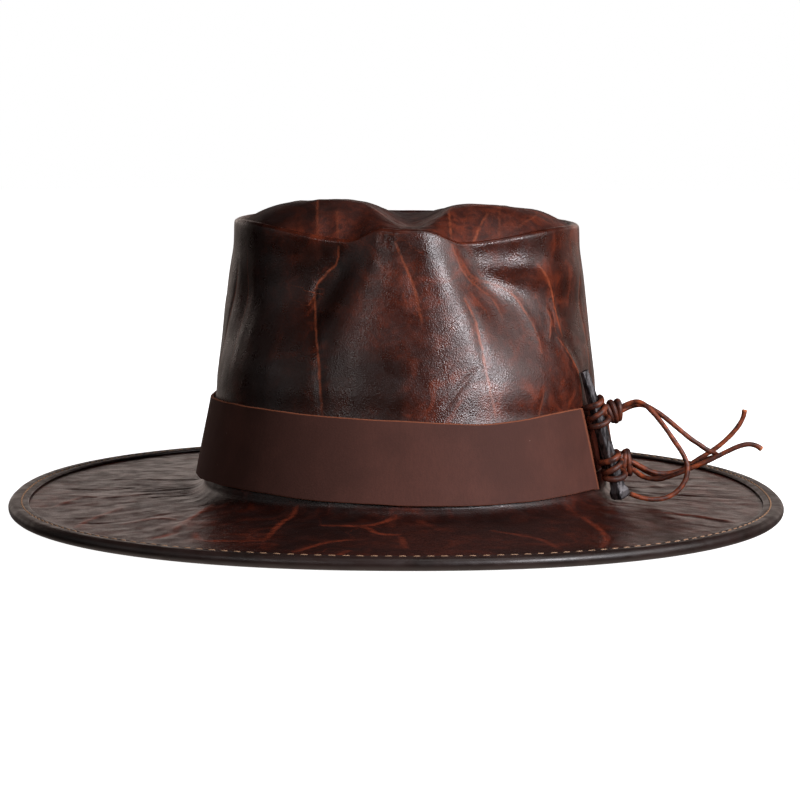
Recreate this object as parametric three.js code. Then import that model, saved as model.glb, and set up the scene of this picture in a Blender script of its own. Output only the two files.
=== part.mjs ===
import * as THREE from 'three';

// Leather hat with a wide oval brim, a pinched and creased crown, a plain band and a nail tied on with lace.
// Millimetres. X to the right of the hat, its front towards -Y, Z up from the surface that the brim lies on.
// A bearing is the angle round the crown or the brim from the front, turning towards +X.

const GAP = 0.3;
const LEATHER = 2.2;
const TURN = 2 * Math.PI;

// Brim: an oval, flat at its rim, whose middle rises to a short collar
const BRIM = {
  halfWidth: 175,
  halfLength: 192.5,
  power: 2.2,
  breakHeightSide: 6.2,
  breakHeightEnd: 8,
  bendReach: 11,
  bearings: 60,
};

// Rolled binding of the rim
const BINDING = {
  bead: 5.4,
  width: 9.2,
  wall: 1.3,
};

// Crown: tapering oval wall, rolled fold round the top, domed top with a crease down the middle
const CROWN = {
  centreX: 4.1,
  power: 2.2,
  bottom: 20,
  sideAtFloor: 93.75,
  sideTaper: 0.1305,
  frontAtFloor: 112,
  frontTaper: 0.2,
  backAtFloor: 111.5,
  backTaper: 0.16,
  bandSqueeze: 0.8,
  foldFlare: 1,
  foldFlareReach: 14,
  foldHeight: 129.1,
  foldTilt: -0.9,
  backRise: 1.8,
  noseDrop: 1.2,
  noseWidth: 14,
  rollRadius: 2.6,
  gutterAt: 6.5,
  gutterDepth: 2.4,
  domeReachSide: 18,
  domeReachEnd: 30,
  domeRoundness: 3,
  lobeLeft: 138.8,
  lobeRight: 136.9,
  lobeTopX: 27,
  lobeTopY: -15,
  lobeFallAcross: 4.4,
  lobeFallAlong: 4,
  lobeReachAcross: 45,
  lobeReachAlong: 75,
  creaseFront: 128,
  creaseBack: 130,
  creaseX: 1.5,
  creaseWidth: 14,
  bearings: 64,
};

// The two pinches at the front, one row each. The fold dips from inner to deep and comes back at outer,
// all measured sideways from the crown's middle, and below it the wall is pressed in by push.
const PINCHES = [
  { side: -1, dip: 6.0, inner: 10, deep: 27, outer: 76, push: 11.0, centre: 28, drift: 0.42, spread: 15 },
  { side: 1, dip: 6.3, inner: 6, deep: 26, outer: 74, push: 10.5, centre: 30, drift: 0.42, spread: 15 },
];
const PINCH_FADE = { low: 64, full: 108, fold: 128, keptAtFold: 0.75 };

// Band: a strip round the foot of the crown. Its ends stop at these bearings, and the far end stands off.
const BAND = {
  wall: 1.6,
  clear: 0.4,
  bottomSide: 12,
  bottomEnd: 14.2,
  topSide: 48.6,
  topEnd: 48.6,
  nearEndBottom: 60,
  nearEndTop: 54.2,
  farEndBottom: 71,
  farEndTop: 63.8,
  standOffBottom: 4.6,
  standOffTop: 5.9,
  standOffReach: 22,
  steps: 64,
};
// How far its edges lie above those heights, and how far they stand off, at degrees from the front
const BAND_LIE = [
  { at: -150, bottom: 0, top: 0, offBottom: 0, offTop: 0 },
  { at: -95, bottom: 2.2, top: 0.6, offBottom: 2.5, offTop: 0.4 },
  { at: -62, bottom: 3.0, top: 2.3, offBottom: 1.8, offTop: 0.3 },
  { at: -38, bottom: 2.9, top: 2.4, offBottom: 0.4, offTop: 0 },
  { at: -20, bottom: 0.6, top: 1.4, offBottom: 0, offTop: 0 },
  { at: 0, bottom: -0.3, top: 0.1, offBottom: 0, offTop: 0 },
  { at: 17, bottom: -0.5, top: -1.8, offBottom: 0, offTop: 0 },
  { at: 28, bottom: -0.1, top: -0.9, offBottom: 0, offTop: 0 },
  { at: 42, bottom: 1.2, top: 0.9, offBottom: 0, offTop: 0 },
  { at: 60, bottom: 0.9, top: 0.9, offBottom: 0, offTop: 0 },
  { at: 63, bottom: 0, top: 0, offBottom: 0, offTop: 0 },
];

// Nail: forged, square and tapering, its head at the bottom, leaning with the crown's wall
const NAIL = {
  head: new THREE.Vector3(99.4, -46, 8.6),
  tip: new THREE.Vector3(81.9, -54.1, 65.5),
  chamfer: 0.28,
};
const NAIL_SECTIONS = [
  { part: 0.0, wide: 2.6, deep: 2.4 },
  { part: 0.014, wide: 3.3, deep: 3.2 },
  { part: 0.055, wide: 3.5, deep: 3.4 },
  { part: 0.082, wide: 2.8, deep: 2.7 },
  { part: 0.1, wide: 2.5, deep: 2.5 },
  { part: 0.55, wide: 2.4, deep: 2.3 },
  { part: 0.82, wide: 2.0, deep: 1.8 },
  { part: 1.0, wide: 1.8, deep: 1.0 },
];

// Lace: round leather thong
const LACE = { diameter: 2.2, sides: 8, step: 2.3 };

// The lace wound round the nail: where its middle lies along the nail, turns and their pitch
const LASHINGS = [
  { name: 'upper_lashing', part: 0.66, turns: 3, pitch: 4.6, radius: 4.2 },
  { name: 'lower_lashing', part: 0.235, turns: 3, pitch: 4.3, radius: 4.55 },
];

// Knots: stacked turns of lace
const KNOTS = [
  { name: 'upper_knot', centre: [97.7, -31.6, 45.3], radius: 3.3, turns: 4 },
  { name: 'lower_knot', centre: [101.8, -26.6, 22.5], radius: 3.5, turns: 5 },
];

// Free stretches of lace, by hand from the knots outwards
const LACE_ROUTES = {
  bow_loop_front: [
    [100.6, -32.5, 47.8], [106, -33.5, 50], [110, -35, 49], [114, -37, 45.5], [118.5, -39, 40],
    [123.2, -41, 33.2], [127, -42.5, 27.5], [128.7, -44, 22.5], [128, -45, 17], [124.5, -46, 12],
    [119.5, -47, 9], [113.5, -48, 8.2],
    [108, -48, 9], [103.2, -46.9, 10.5],
  ],
  bow_loop_back: [
    [101, -30.3, 45.8], [106, -29.6, 47.8], [110.5, -30, 48], [115, -31.5, 46], [119.5, -32.5, 43],
    [125, -33.5, 38.5], [130.5, -34, 34], [135, -34, 31], [138.5, -33.5, 28.6], [141.8, -31.5, 27],
    [143.3, -28.5, 25.7], [142.4, -25.5, 24.4], [139.5, -24, 23], [135.5, -23.5, 21], [131, -23.5, 18.9],
    [125.5, -23.5, 17.2], [120.5, -23.5, 16.5], [115.5, -24, 17.2], [111, -24.4, 19.2], [106.1, -25.1, 21.8],
  ],
  lace_tail_upper: [
    [104.9, -23.3, 21.6], [111, -20.6, 18.2], [116, -19.5, 15.6], [121, -18.5, 15], [126, -18.5, 16.3],
    [131.3, -18.5, 19], [135.7, -18.5, 22], [140.5, -18.5, 25], [145.3, -18.5, 28.3], [150, -18.5, 32.5],
    [154, -18.5, 37.2], [156.3, -18.5, 41.5], [157, -18.5, 45],
  ],
  lace_tail_lower: [
    [106.2, -28, 18.8], [109.8, -29.5, 16.2], [113.5, -31.5, 15.2], [118.1, -33.5, 15.5],
    [123.8, -35.5, 17.5],
    [130.3, -37, 20.5], [137.4, -37.5, 23.6], [142.3, -37.5, 26], [147.3, -37.5, 28.5], [152, -37.5, 30.6],
    [156.2, -37.5, 31.6], [159.8, -37.5, 31], [162.4, -37.5, 29.4],
  ],
};

const rimHeight = BINDING.bead / 2;
const brimLow = BINDING.wall + GAP;
const brimHigh = brimLow + LEATHER;

// Small helpers

function smooth(from, to, value) {
  const t = Math.min(1, Math.max(0, (value - from) / (to - from)));
  return t * t * (3 - 2 * t);
}

function mix(a, b, t) {
  return a + (b - a) * t;
}

function ovalRadius(bearing, halfWidth, halfLength, power) {
  const across = Math.abs(Math.sin(bearing)) / halfWidth;
  const along = Math.abs(Math.cos(bearing)) / halfLength;
  return (across ** power + along ** power) ** (-1 / power);
}

// Bearing of step i of n, steps lying closer together at the front, where the pinches are
function crownBearing(i, n) {
  const even = (TURN * i) / n;
  return even - 0.3 * Math.sin(even);
}

function solidMesh(name, geometry, color, roughness, metalness = 0) {
  const mesh = new THREE.Mesh(geometry, new THREE.MeshStandardMaterial({ color, roughness, metalness }));
  mesh.name = name;
  return mesh;
}

// Closed ring through sections of equal point count; point(i, j) gives point j of section i
function ringGeometry(sections, points, point) {
  const positions = [];
  const index = [];
  for (let i = 0; i < sections; i += 1) {
    for (let j = 0; j < points; j += 1) positions.push(...point(i, j));
  }
  for (let i = 0; i < sections; i += 1) {
    const next = (i + 1) % sections;
    for (let j = 0; j < points; j += 1) {
      const up = (j + 1) % points;
      const a = i * points + j;
      const b = next * points + j;
      const c = next * points + up;
      const d = i * points + up;
      index.push(a, b, c, a, c, d);
    }
  }
  const geometry = new THREE.BufferGeometry();
  geometry.setAttribute('position', new THREE.Float32BufferAttribute(positions, 3));
  geometry.setIndex(index);
  geometry.computeVertexNormals();
  return geometry;
}

// Closed bar through sections of equal point count, with flat ends
function barGeometry(sections, points, point) {
  const positions = [];
  const index = [];
  for (let i = 0; i < sections; i += 1) {
    for (let j = 0; j < points; j += 1) positions.push(...point(i, j));
  }
  for (let i = 0; i + 1 < sections; i += 1) {
    for (let j = 0; j < points; j += 1) {
      const up = (j + 1) % points;
      const a = i * points + j;
      const b = a + points;
      const c = (i + 1) * points + up;
      const d = i * points + up;
      index.push(a, c, b, a, d, c);
    }
  }
  const last = (sections - 1) * points;
  for (let j = 1; j + 1 < points; j += 1) {
    index.push(0, j + 1, j);
    index.push(last, last + j, last + j + 1);
  }
  const geometry = new THREE.BufferGeometry();
  geometry.setAttribute('position', new THREE.Float32BufferAttribute(positions, 3));
  geometry.setIndex(index);
  geometry.computeVertexNormals();
  return geometry;
}

// Crown shape

// Distance of the undented wall from the crown's middle line: pulled in under the band, flared at the fold
function wallRadius(bearing, z) {
  const halfWidth = CROWN.sideAtFloor - CROWN.sideTaper * z;
  const front = CROWN.frontAtFloor - CROWN.frontTaper * z;
  const back = CROWN.backAtFloor - CROWN.backTaper * z;
  const squeeze = CROWN.bandSqueeze * smooth(BAND.topSide + 12, BAND.topSide, z);
  const flare = CROWN.foldFlare * smooth(CROWN.foldHeight - CROWN.foldFlareReach, CROWN.foldHeight, z);
  return ovalRadius(bearing, halfWidth, Math.cos(bearing) > 0 ? front : back, CROWN.power) - squeeze + flare;
}

// How far the pinches press the wall in at a height
function pinchPush(bearing, z) {
  const towardsFront = smooth(0.1, 0.55, Math.cos(bearing));
  if (towardsFront === 0) return 0;
  const across = wallRadius(bearing, z) * Math.sin(bearing);
  const rise = smooth(PINCH_FADE.low, PINCH_FADE.full, z);
  const ease = 1 - (1 - PINCH_FADE.keptAtFold) * smooth(PINCH_FADE.full, PINCH_FADE.fold, z);
  let push = 0;
  for (const pinch of PINCHES) {
    const centre = pinch.centre + pinch.drift * Math.max(0, PINCH_FADE.fold - z);
    push += pinch.push * Math.exp(-(((across * pinch.side - centre) / pinch.spread) ** 2));
  }
  return push * rise * ease * towardsFront;
}

function foldHeight(bearing) {
  const across = wallRadius(bearing, CROWN.foldHeight) * Math.sin(bearing);
  let height = CROWN.foldHeight + CROWN.foldTilt * Math.sin(bearing);
  if (Math.cos(bearing) > 0) {
    height -= CROWN.noseDrop * Math.exp(-((across / CROWN.noseWidth) ** 2));
    for (const pinch of PINCHES) {
      const out = across * pinch.side;
      const dip = smooth(pinch.inner, pinch.deep, out) * (1 - smooth(pinch.deep + 2, pinch.outer, out));
      height -= pinch.dip * dip;
    }
  } else {
    height += CROWN.backRise * Math.cos(bearing) ** 2;
  }
  return height;
}

function lobeHeight(across, y) {
  const top = mix(CROWN.lobeLeft, CROWN.lobeRight, smooth(-12, 12, across));
  const out = Math.max(0, Math.abs(across) - CROWN.lobeTopX) / CROWN.lobeReachAcross;
  const along = (y - CROWN.lobeTopY) / CROWN.lobeReachAlong;
  return top - CROWN.lobeFallAcross * out ** 1.5 - CROWN.lobeFallAlong * along ** 2;
}

// Height of the top at a distance in from the wall's top edge
function topHeight(bearing, inward, across, y) {
  const fold = foldHeight(bearing);
  const gutter = fold - CROWN.gutterDepth;
  let height;
  if (inward < CROWN.rollRadius) {
    const left = CROWN.rollRadius - inward;
    height = fold - CROWN.rollRadius + Math.sqrt(Math.max(0, CROWN.rollRadius ** 2 - left ** 2));
  } else if (inward < CROWN.gutterAt) {
    const t = (inward - CROWN.rollRadius) / (CROWN.gutterAt - CROWN.rollRadius);
    height = fold - CROWN.gutterDepth * (1 - Math.cos(Math.PI * t)) * 0.5;
  } else {
    const reach = mix(CROWN.domeReachSide, CROWN.domeReachEnd, Math.cos(bearing) ** 2);
    const t = Math.min(1, (inward - CROWN.gutterAt) / reach);
    height = mix(gutter, lobeHeight(across, y), 1 - (1 - t) ** CROWN.domeRoundness);
  }
  const away = 1 - Math.exp(-(((across - CROWN.creaseX) / CROWN.creaseWidth) ** 2));
  const back = smooth(-CROWN.lobeReachAlong, CROWN.lobeReachAlong, y);
  const floor = mix(CROWN.creaseFront, CROWN.creaseBack, back);
  const creased = mix(floor, height, away);
  return mix(height, creased, smooth(0.5 * CROWN.rollRadius, 2.6 * CROWN.gutterAt, inward));
}

// Rows of the crown from the foot up the wall, over the roll and in to the middle of the top
const WALL_PARTS = [0, 0.27, 0.42, 0.55, 0.67, 0.78, 0.88, 1];
const ROLL_ANGLES = [30, 60, 90];
const TOP_INWARD = [4.5, 6.5, 9, 12.5, 18, 26];
const TOP_PARTS = [0.24, 0.48, 0.7, 0.88];
const CROWN_ROWS = WALL_PARTS.length + ROLL_ANGLES.length + TOP_INWARD.length + TOP_PARTS.length;

function crownPoint(bearing, row) {
  const rollStart = foldHeight(bearing) - CROWN.rollRadius;
  const topRadius = wallRadius(bearing, rollStart) - pinchPush(bearing, rollStart);
  let radius;
  let z = null;
  let r = row;
  if (r < WALL_PARTS.length) {
    const whole = Math.floor(r);
    const part = mix(WALL_PARTS[whole], WALL_PARTS[Math.min(whole + 1, WALL_PARTS.length - 1)], r - whole);
    z = mix(CROWN.bottom, rollStart, part);
    radius = wallRadius(bearing, z) - pinchPush(bearing, z);
  } else {
    r -= WALL_PARTS.length;
    let inward;
    if (r < ROLL_ANGLES.length) {
      inward = CROWN.rollRadius * (1 - Math.cos(THREE.MathUtils.degToRad(ROLL_ANGLES[r])));
    } else if (r < ROLL_ANGLES.length + TOP_INWARD.length) {
      inward = TOP_INWARD[r - ROLL_ANGLES.length];
    } else {
      const start = TOP_INWARD[TOP_INWARD.length - 1];
      inward = mix(start, topRadius, TOP_PARTS[r - ROLL_ANGLES.length - TOP_INWARD.length]);
    }
    radius = topRadius - inward;
    z = topHeight(bearing, inward, radius * Math.sin(bearing), -radius * Math.cos(bearing));
  }
  return new THREE.Vector3(
    CROWN.centreX + radius * Math.sin(bearing),
    -radius * Math.cos(bearing),
    z,
  );
}

// Leather shell: outer face as above, inner face one leather thickness inside it, flat cut at the foot
function crownGeometry() {
  const n = CROWN.bearings;
  const outer = [];
  for (let i = 0; i < n; i += 1) {
    const line = [];
    for (let row = 0; row < CROWN_ROWS; row += 1) line.push(crownPoint(crownBearing(i, n), row));
    outer.push(line);
  }
  const middle = new THREE.Vector3(CROWN.centreX, 0, topHeight(0, CROWN.frontAtFloor, 0, 0));

  const inner = outer.map((line, i) => line.map((point, row) => {
    const before = outer[(i + n - 1) % n][row];
    const after = outer[(i + 1) % n][row];
    const below = line[Math.max(0, row - 1)];
    const above = row + 1 < CROWN_ROWS ? line[row + 1] : middle;
    const round = after.clone().sub(before);
    const up = above.clone().sub(below);
    const normal = round.cross(up).normalize();
    const shifted = point.clone().addScaledVector(normal, -LEATHER);
    if (row === 0) shifted.z = CROWN.bottom;
    return shifted;
  }));
  const innerMiddle = middle.clone().setZ(middle.z - LEATHER);

  const positions = [];
  const index = [];
  const put = (point) => positions.push(point.x, point.y, point.z);
  for (const face of [outer, inner]) {
    for (const line of face) line.forEach(put);
  }
  put(middle);
  put(innerMiddle);
  const at = (face, i, row) => (face * n + (i % n)) * CROWN_ROWS + row;
  const tips = [2 * n * CROWN_ROWS, 2 * n * CROWN_ROWS + 1];
  for (let i = 0; i < n; i += 1) {
    for (let row = 0; row + 1 < CROWN_ROWS; row += 1) {
      const [a, b, c, d] = [at(0, i, row), at(0, i + 1, row), at(0, i + 1, row + 1), at(0, i, row + 1)];
      index.push(a, b, c, a, c, d);
      const [e, f, g, h] = [at(1, i, row), at(1, i + 1, row), at(1, i + 1, row + 1), at(1, i, row + 1)];
      index.push(e, g, f, e, h, g);
    }
    const last = CROWN_ROWS - 1;
    index.push(at(0, i, last), at(0, i + 1, last), tips[0]);
    index.push(at(1, i + 1, last), at(1, i, last), tips[1]);
    index.push(at(0, i + 1, 0), at(0, i, 0), at(1, i, 0), at(0, i + 1, 0), at(1, i, 0), at(1, i + 1, 0));
  }
  const geometry = new THREE.BufferGeometry();
  geometry.setAttribute('position', new THREE.Float32BufferAttribute(positions, 3));
  geometry.setIndex(index);
  geometry.computeVertexNormals();
  return geometry;
}

// Brim shape

function rimRadius(bearing) {
  return ovalRadius(bearing, BRIM.halfWidth, BRIM.halfLength, BRIM.power);
}

function endWeight(bearing) {
  return Math.cos(bearing) ** 2;
}

// Section of the brim at a bearing: distances from the crown's middle line outwards, and heights
function brimSection(bearing) {
  const collar = wallRadius(bearing, CROWN.bottom - GAP);
  const breakHeight = mix(BRIM.breakHeightSide, BRIM.breakHeightEnd, endWeight(bearing));
  const bendHeight = mix(BAND.bottomSide, BAND.bottomEnd, endWeight(bearing)) - breakHeight;
  const foot = wallRadius(bearing, breakHeight + bendHeight);
  const reach = [0.22, 0.55, 1];
  const section = [{ foot: collar, z: CROWN.bottom - GAP, out: 0 }];
  const bends = [0, 30, 60, 90];
  const bend = (degrees, drop) => {
    const across = Math.cos(THREE.MathUtils.degToRad(degrees));
    const down = Math.sin(THREE.MathUtils.degToRad(degrees));
    const steep = Math.hypot(bendHeight * across, BRIM.bendReach * down);
    return {
      foot: foot + BRIM.bendReach * (1 - across) - (drop * bendHeight * across) / steep,
      z: breakHeight + bendHeight * (1 - down) - (drop * BRIM.bendReach * down) / steep,
      out: 0,
    };
  };
  const flat = (part, drop) => ({
    foot: foot + BRIM.bendReach,
    z: mix(brimHigh, breakHeight, (1 - part) ** 1.5) - drop,
    out: part,
  });
  for (const angle of bends) section.push(bend(angle, 0));
  for (const part of reach) section.push(flat(part, 0));
  section.push({ foot: 0, z: brimHigh, out: 2 }, { foot: 0, z: brimLow, out: 2 });
  for (const part of [...reach].reverse()) section.push(flat(part, LEATHER));
  for (const angle of [...bends].reverse()) section.push(bend(angle, LEATHER));
  section.push({ foot: collar - LEATHER, z: CROWN.bottom - GAP, out: 0 });
  return section;
}

function brimGeometry() {
  const n = BRIM.bearings;
  const sections = [];
  for (let i = 0; i < n; i += 1) {
    const bearing = (TURN * i) / n;
    const rim = rimRadius(bearing);
    const edge = rim - BINDING.wall - GAP;
    const inside = rim - BINDING.width - 1;
    sections.push(brimSection(bearing).map((point) => {
      const footX = CROWN.centreX + point.foot * Math.sin(bearing);
      const footY = -point.foot * Math.cos(bearing);
      const radius = point.out === 2 ? edge : inside;
      const part = point.out === 2 ? 1 : point.out;
      return [
        mix(footX, radius * Math.sin(bearing), part),
        mix(footY, -radius * Math.cos(bearing), part),
        point.z,
      ];
    }));
  }
  return ringGeometry(n, sections[0].length, (i, j) => sections[i][sections[0].length - 1 - j]);
}

// Folded leather edge: bead outside, a flap above and below the brim, flat where it rests
function bindingGeometry() {
  const bead = BINDING.bead / 2;
  const angles = [-90, -45, 0, 45, 90];
  const section = angles.map((angle) => ({
    inset: bead - bead * Math.cos(THREE.MathUtils.degToRad(angle)),
    z: rimHeight + bead * Math.sin(THREE.MathUtils.degToRad(angle)),
  }));
  section.push({ inset: BINDING.width, z: BINDING.bead });
  section.push({ inset: BINDING.width, z: BINDING.bead - BINDING.wall });
  section.push({ inset: BINDING.wall, z: BINDING.bead - BINDING.wall });
  section.push({ inset: BINDING.wall, z: BINDING.wall });
  section.push({ inset: BINDING.width, z: BINDING.wall });
  section.push({ inset: BINDING.width, z: 0 });
  return ringGeometry(BRIM.bearings, section.length, (i, j) => {
    const bearing = (TURN * i) / BRIM.bearings;
    const point = section[j];
    const radius = rimRadius(bearing) - point.inset;
    return [radius * Math.sin(bearing), -radius * Math.cos(bearing), point.z];
  });
}

// Lift and stand-off of the band's edges at a bearing, eased from one row of the table to the next
function bandLie(bearing) {
  const at = THREE.MathUtils.euclideanModulo(THREE.MathUtils.radToDeg(bearing) + 180, 360) - 180;
  const next = BAND_LIE.findIndex((row) => row.at > at);
  if (next < 1) return BAND_LIE[0];
  const [before, after] = [BAND_LIE[next - 1], BAND_LIE[next]];
  const part = smooth(before.at, after.at, at);
  const eased = {};
  for (const key of ['bottom', 'top', 'offBottom', 'offTop']) eased[key] = mix(before[key], after[key], part);
  return eased;
}

// Band strip from its far end round the back to its near end
function bandGeometry() {
  const radians = THREE.MathUtils.degToRad;
  const corners = [
    { top: 0, wall: 0 }, { top: 1, wall: 0 }, { top: 1, wall: 1 }, { top: 0, wall: 1 },
  ];
  return barGeometry(BAND.steps + 1, corners.length, (i, j) => {
    const { top, wall } = corners[j];
    const start = radians(mix(BAND.farEndBottom, BAND.farEndTop, top));
    const end = radians(mix(BAND.nearEndBottom, BAND.nearEndTop, top)) + TURN;
    const bearing = mix(start, end, i / BAND.steps);
    const lie = bandLie(bearing);
    const z = mix(
      mix(BAND.bottomSide, BAND.bottomEnd, endWeight(bearing)) + lie.bottom,
      mix(BAND.topSide, BAND.topEnd, endWeight(bearing)) + lie.top,
      top,
    );
    const left = Math.max(0, 1 - THREE.MathUtils.radToDeg(bearing - start) / BAND.standOffReach);
    const standOff = mix(BAND.standOffBottom, BAND.standOffTop, top) * left ** 1.3;
    const off = standOff + mix(lie.offBottom, lie.offTop, top);
    const radius = wallRadius(bearing, z) + BAND.clear + BAND.wall * wall + off;
    return [CROWN.centreX + radius * Math.sin(bearing), -radius * Math.cos(bearing), z];
  });
}

// Nail, lashings and knots share the nail's own axis

const nailAxis = NAIL.tip.clone().sub(NAIL.head);
const nailLength = nailAxis.length();
const nailTurn = new THREE.Quaternion().setFromUnitVectors(
  new THREE.Vector3(0, 0, 1),
  nailAxis.clone().normalize(),
).multiply(new THREE.Quaternion().setFromAxisAngle(new THREE.Vector3(0, 0, 1), Math.PI / 4));

function nailGeometry() {
  const corners = [];
  for (const [x, y] of [[1, -1], [1, 1], [-1, 1], [-1, -1]]) {
    const cut = 1 - NAIL.chamfer;
    const pair = [[x, y * cut], [x * cut, y]];
    corners.push(...(x * y > 0 ? pair : pair.reverse()));
  }
  return barGeometry(NAIL_SECTIONS.length, corners.length, (i, j) => {
    const { part, wide, deep } = NAIL_SECTIONS[i];
    return [corners[j][0] * wide, corners[j][1] * deep, part * nailLength];
  });
}

class WoundLace extends THREE.Curve {
  constructor(turns, pitch, radius) {
    super();
    Object.assign(this, { turns, pitch, radius });
  }

  getPoint(t, target = new THREE.Vector3()) {
    const angle = TURN * this.turns * t;
    const rise = this.pitch * (this.turns * t - this.turns / 2);
    return target.set(this.radius * Math.cos(angle), this.radius * Math.sin(angle), rise);
  }
}

function laceGeometry(curve, steps, sides) {
  const ring = new THREE.Shape();
  for (let i = 0; i < sides; i += 1) {
    const angle = (TURN * i) / sides;
    const x = 0.5 * LACE.diameter * Math.cos(angle);
    const y = 0.5 * LACE.diameter * Math.sin(angle);
    if (i === 0) ring.moveTo(x, y);
    else ring.lineTo(x, y);
  }
  ring.closePath();
  return new THREE.ExtrudeGeometry(ring, { steps, extrudePath: curve, bevelEnabled: false });
}

function knotGeometry(radius, turns) {
  const profile = [new THREE.Vector2(0, -0.5 * turns * LACE.diameter + 0.4)];
  for (let i = 0; i < turns; i += 1) {
    const low = (i - turns / 2) * LACE.diameter;
    for (const [part, inset] of [[0.12, 0.75], [0.5, 0], [0.88, 0.75]]) {
      profile.push(new THREE.Vector2(radius - inset, low + part * LACE.diameter));
    }
  }
  profile.push(new THREE.Vector2(0, 0.5 * turns * LACE.diameter - 0.4));
  return new THREE.LatheGeometry(profile, 12).rotateX(Math.PI / 2);
}

// Assembly

const hat = new THREE.Group();
hat.add(solidMesh('crown', crownGeometry(), 0x3a1a12, 0.45));
hat.add(solidMesh('brim', brimGeometry(), 0x361a13, 0.5));
hat.add(solidMesh('brim_binding', bindingGeometry(), 0x372a28, 0.5));
hat.add(solidMesh('hat_band', bandGeometry(), 0x5a3832, 0.75));

const nailGroup = new THREE.Group();
nailGroup.position.copy(NAIL.head);
nailGroup.quaternion.copy(nailTurn);
nailGroup.add(solidMesh('nail', nailGeometry(), 0x4a4644, 0.5, 0.8));
for (const { name, part, turns, pitch, radius } of LASHINGS) {
  const turned = laceGeometry(new WoundLace(turns, pitch, radius), turns * 11, 6);
  const wound = solidMesh(name, turned, 0x6a3018, 0.6);
  wound.position.z = part * nailLength;
  nailGroup.add(wound);
}
hat.add(nailGroup);

for (const { name, centre, radius, turns } of KNOTS) {
  const knot = solidMesh(name, knotGeometry(radius, turns), 0x4a2012, 0.6);
  knot.position.set(...centre);
  knot.quaternion.copy(nailTurn);
  hat.add(knot);
}

for (const [name, route] of Object.entries(LACE_ROUTES)) {
  const curve = new THREE.CatmullRomCurve3(route.map((point) => new THREE.Vector3(...point)));
  const steps = Math.ceil(curve.getLength() / (LACE.step * LACE.diameter));
  hat.add(solidMesh(name, laceGeometry(curve, steps, LACE.sides), 0x6e3219, 0.6));
}

export default hat;
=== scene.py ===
import math

import bpy
import numpy as np
from mathutils import Matrix, Vector


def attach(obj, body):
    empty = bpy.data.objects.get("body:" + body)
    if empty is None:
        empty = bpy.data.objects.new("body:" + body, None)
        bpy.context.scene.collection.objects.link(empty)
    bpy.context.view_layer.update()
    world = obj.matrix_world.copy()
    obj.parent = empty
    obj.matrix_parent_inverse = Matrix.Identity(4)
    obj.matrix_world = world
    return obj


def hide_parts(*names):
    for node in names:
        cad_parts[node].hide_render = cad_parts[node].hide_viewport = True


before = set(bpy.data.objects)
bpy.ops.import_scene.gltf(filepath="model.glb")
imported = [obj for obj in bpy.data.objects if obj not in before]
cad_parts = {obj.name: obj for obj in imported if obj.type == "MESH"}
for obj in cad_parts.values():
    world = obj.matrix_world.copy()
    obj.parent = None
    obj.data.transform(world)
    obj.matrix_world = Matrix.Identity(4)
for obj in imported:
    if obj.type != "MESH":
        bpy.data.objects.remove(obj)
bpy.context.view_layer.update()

# Leather hat. Lengths below are in millimetres; meshes are written in metres.
# A bearing is the angle round the crown or brim from the front (-Y), turning towards +X.

MM = 0.001
TURN = 2 * math.pi
LEATHER = 2.2
RIM_HALF_WIDTH = 175
RIM_HALF_LENGTH = 192.5

# Small helpers


def smooth(low, high, value):
    t = np.clip((value - low) / (high - low), 0, 1)
    return t * t * (3 - 2 * t)


def mix(a, b, t):
    return a + (b - a) * t


def bell(value, middle, reach):
    """1 at the middle, falling softly to nearly 0 at twice the reach."""
    return np.exp(-((value - middle) / reach) ** 2)


def full_turn(count):
    return np.arange(count) * TURN / count


def spots(*parts):
    """Points from their coordinates, each of which is one number or an array."""
    return np.stack(np.broadcast_arrays(*parts), axis=-1)


def ring(radius, bearing, z, x=0):
    """Points round an upright axis at x, one for each bearing."""
    return spots(x + radius * np.sin(bearing), -radius * np.cos(bearing), z)


def noise(points, cell, seed):
    """Soft noise from -1 to 1, in lumps about as wide as cell, which is one number or one for each axis."""
    size = 8192
    table = np.random.default_rng(seed).random(size) * 2 - 1
    scaled = np.asarray(points) / cell
    floor = np.floor(scaled).astype(int)
    t = scaled - floor
    t = t * t * (3 - 2 * t)
    total = np.zeros(t.shape[:-1])
    for corner in np.ndindex(2, 2, 2):
        at = floor + corner
        value = table[(at[..., 0] * 1619 + at[..., 1] * 31337 + at[..., 2] * 6971) % size]
        for axis in range(3):
            value = value * (t[..., axis] if corner[axis] else 1 - t[..., axis])
        total += value
    return total


def smooth_line(points, steps):
    """Curve through the points, as an array with steps points for each stretch."""
    p = np.array(points, float)
    p = np.vstack([2 * p[0] - p[1], p, 2 * p[-1] - p[-2]])
    t = np.arange(steps)[:, None] / steps
    stretches = []
    for a, b, c, d in zip(p, p[1:], p[2:], p[3:]):
        square, cube = 2 * a - 5 * b + 4 * c - d, 3 * b - a - 3 * c + d
        stretches.append(0.5 * (2 * b + (c - a) * t + square * t ** 2 + cube * t ** 3))
    return np.vstack([*stretches, p[-2]])


def add_object(name, data):
    obj = bpy.data.objects.new(name, data)
    bpy.context.collection.objects.link(obj)
    return obj


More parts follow.
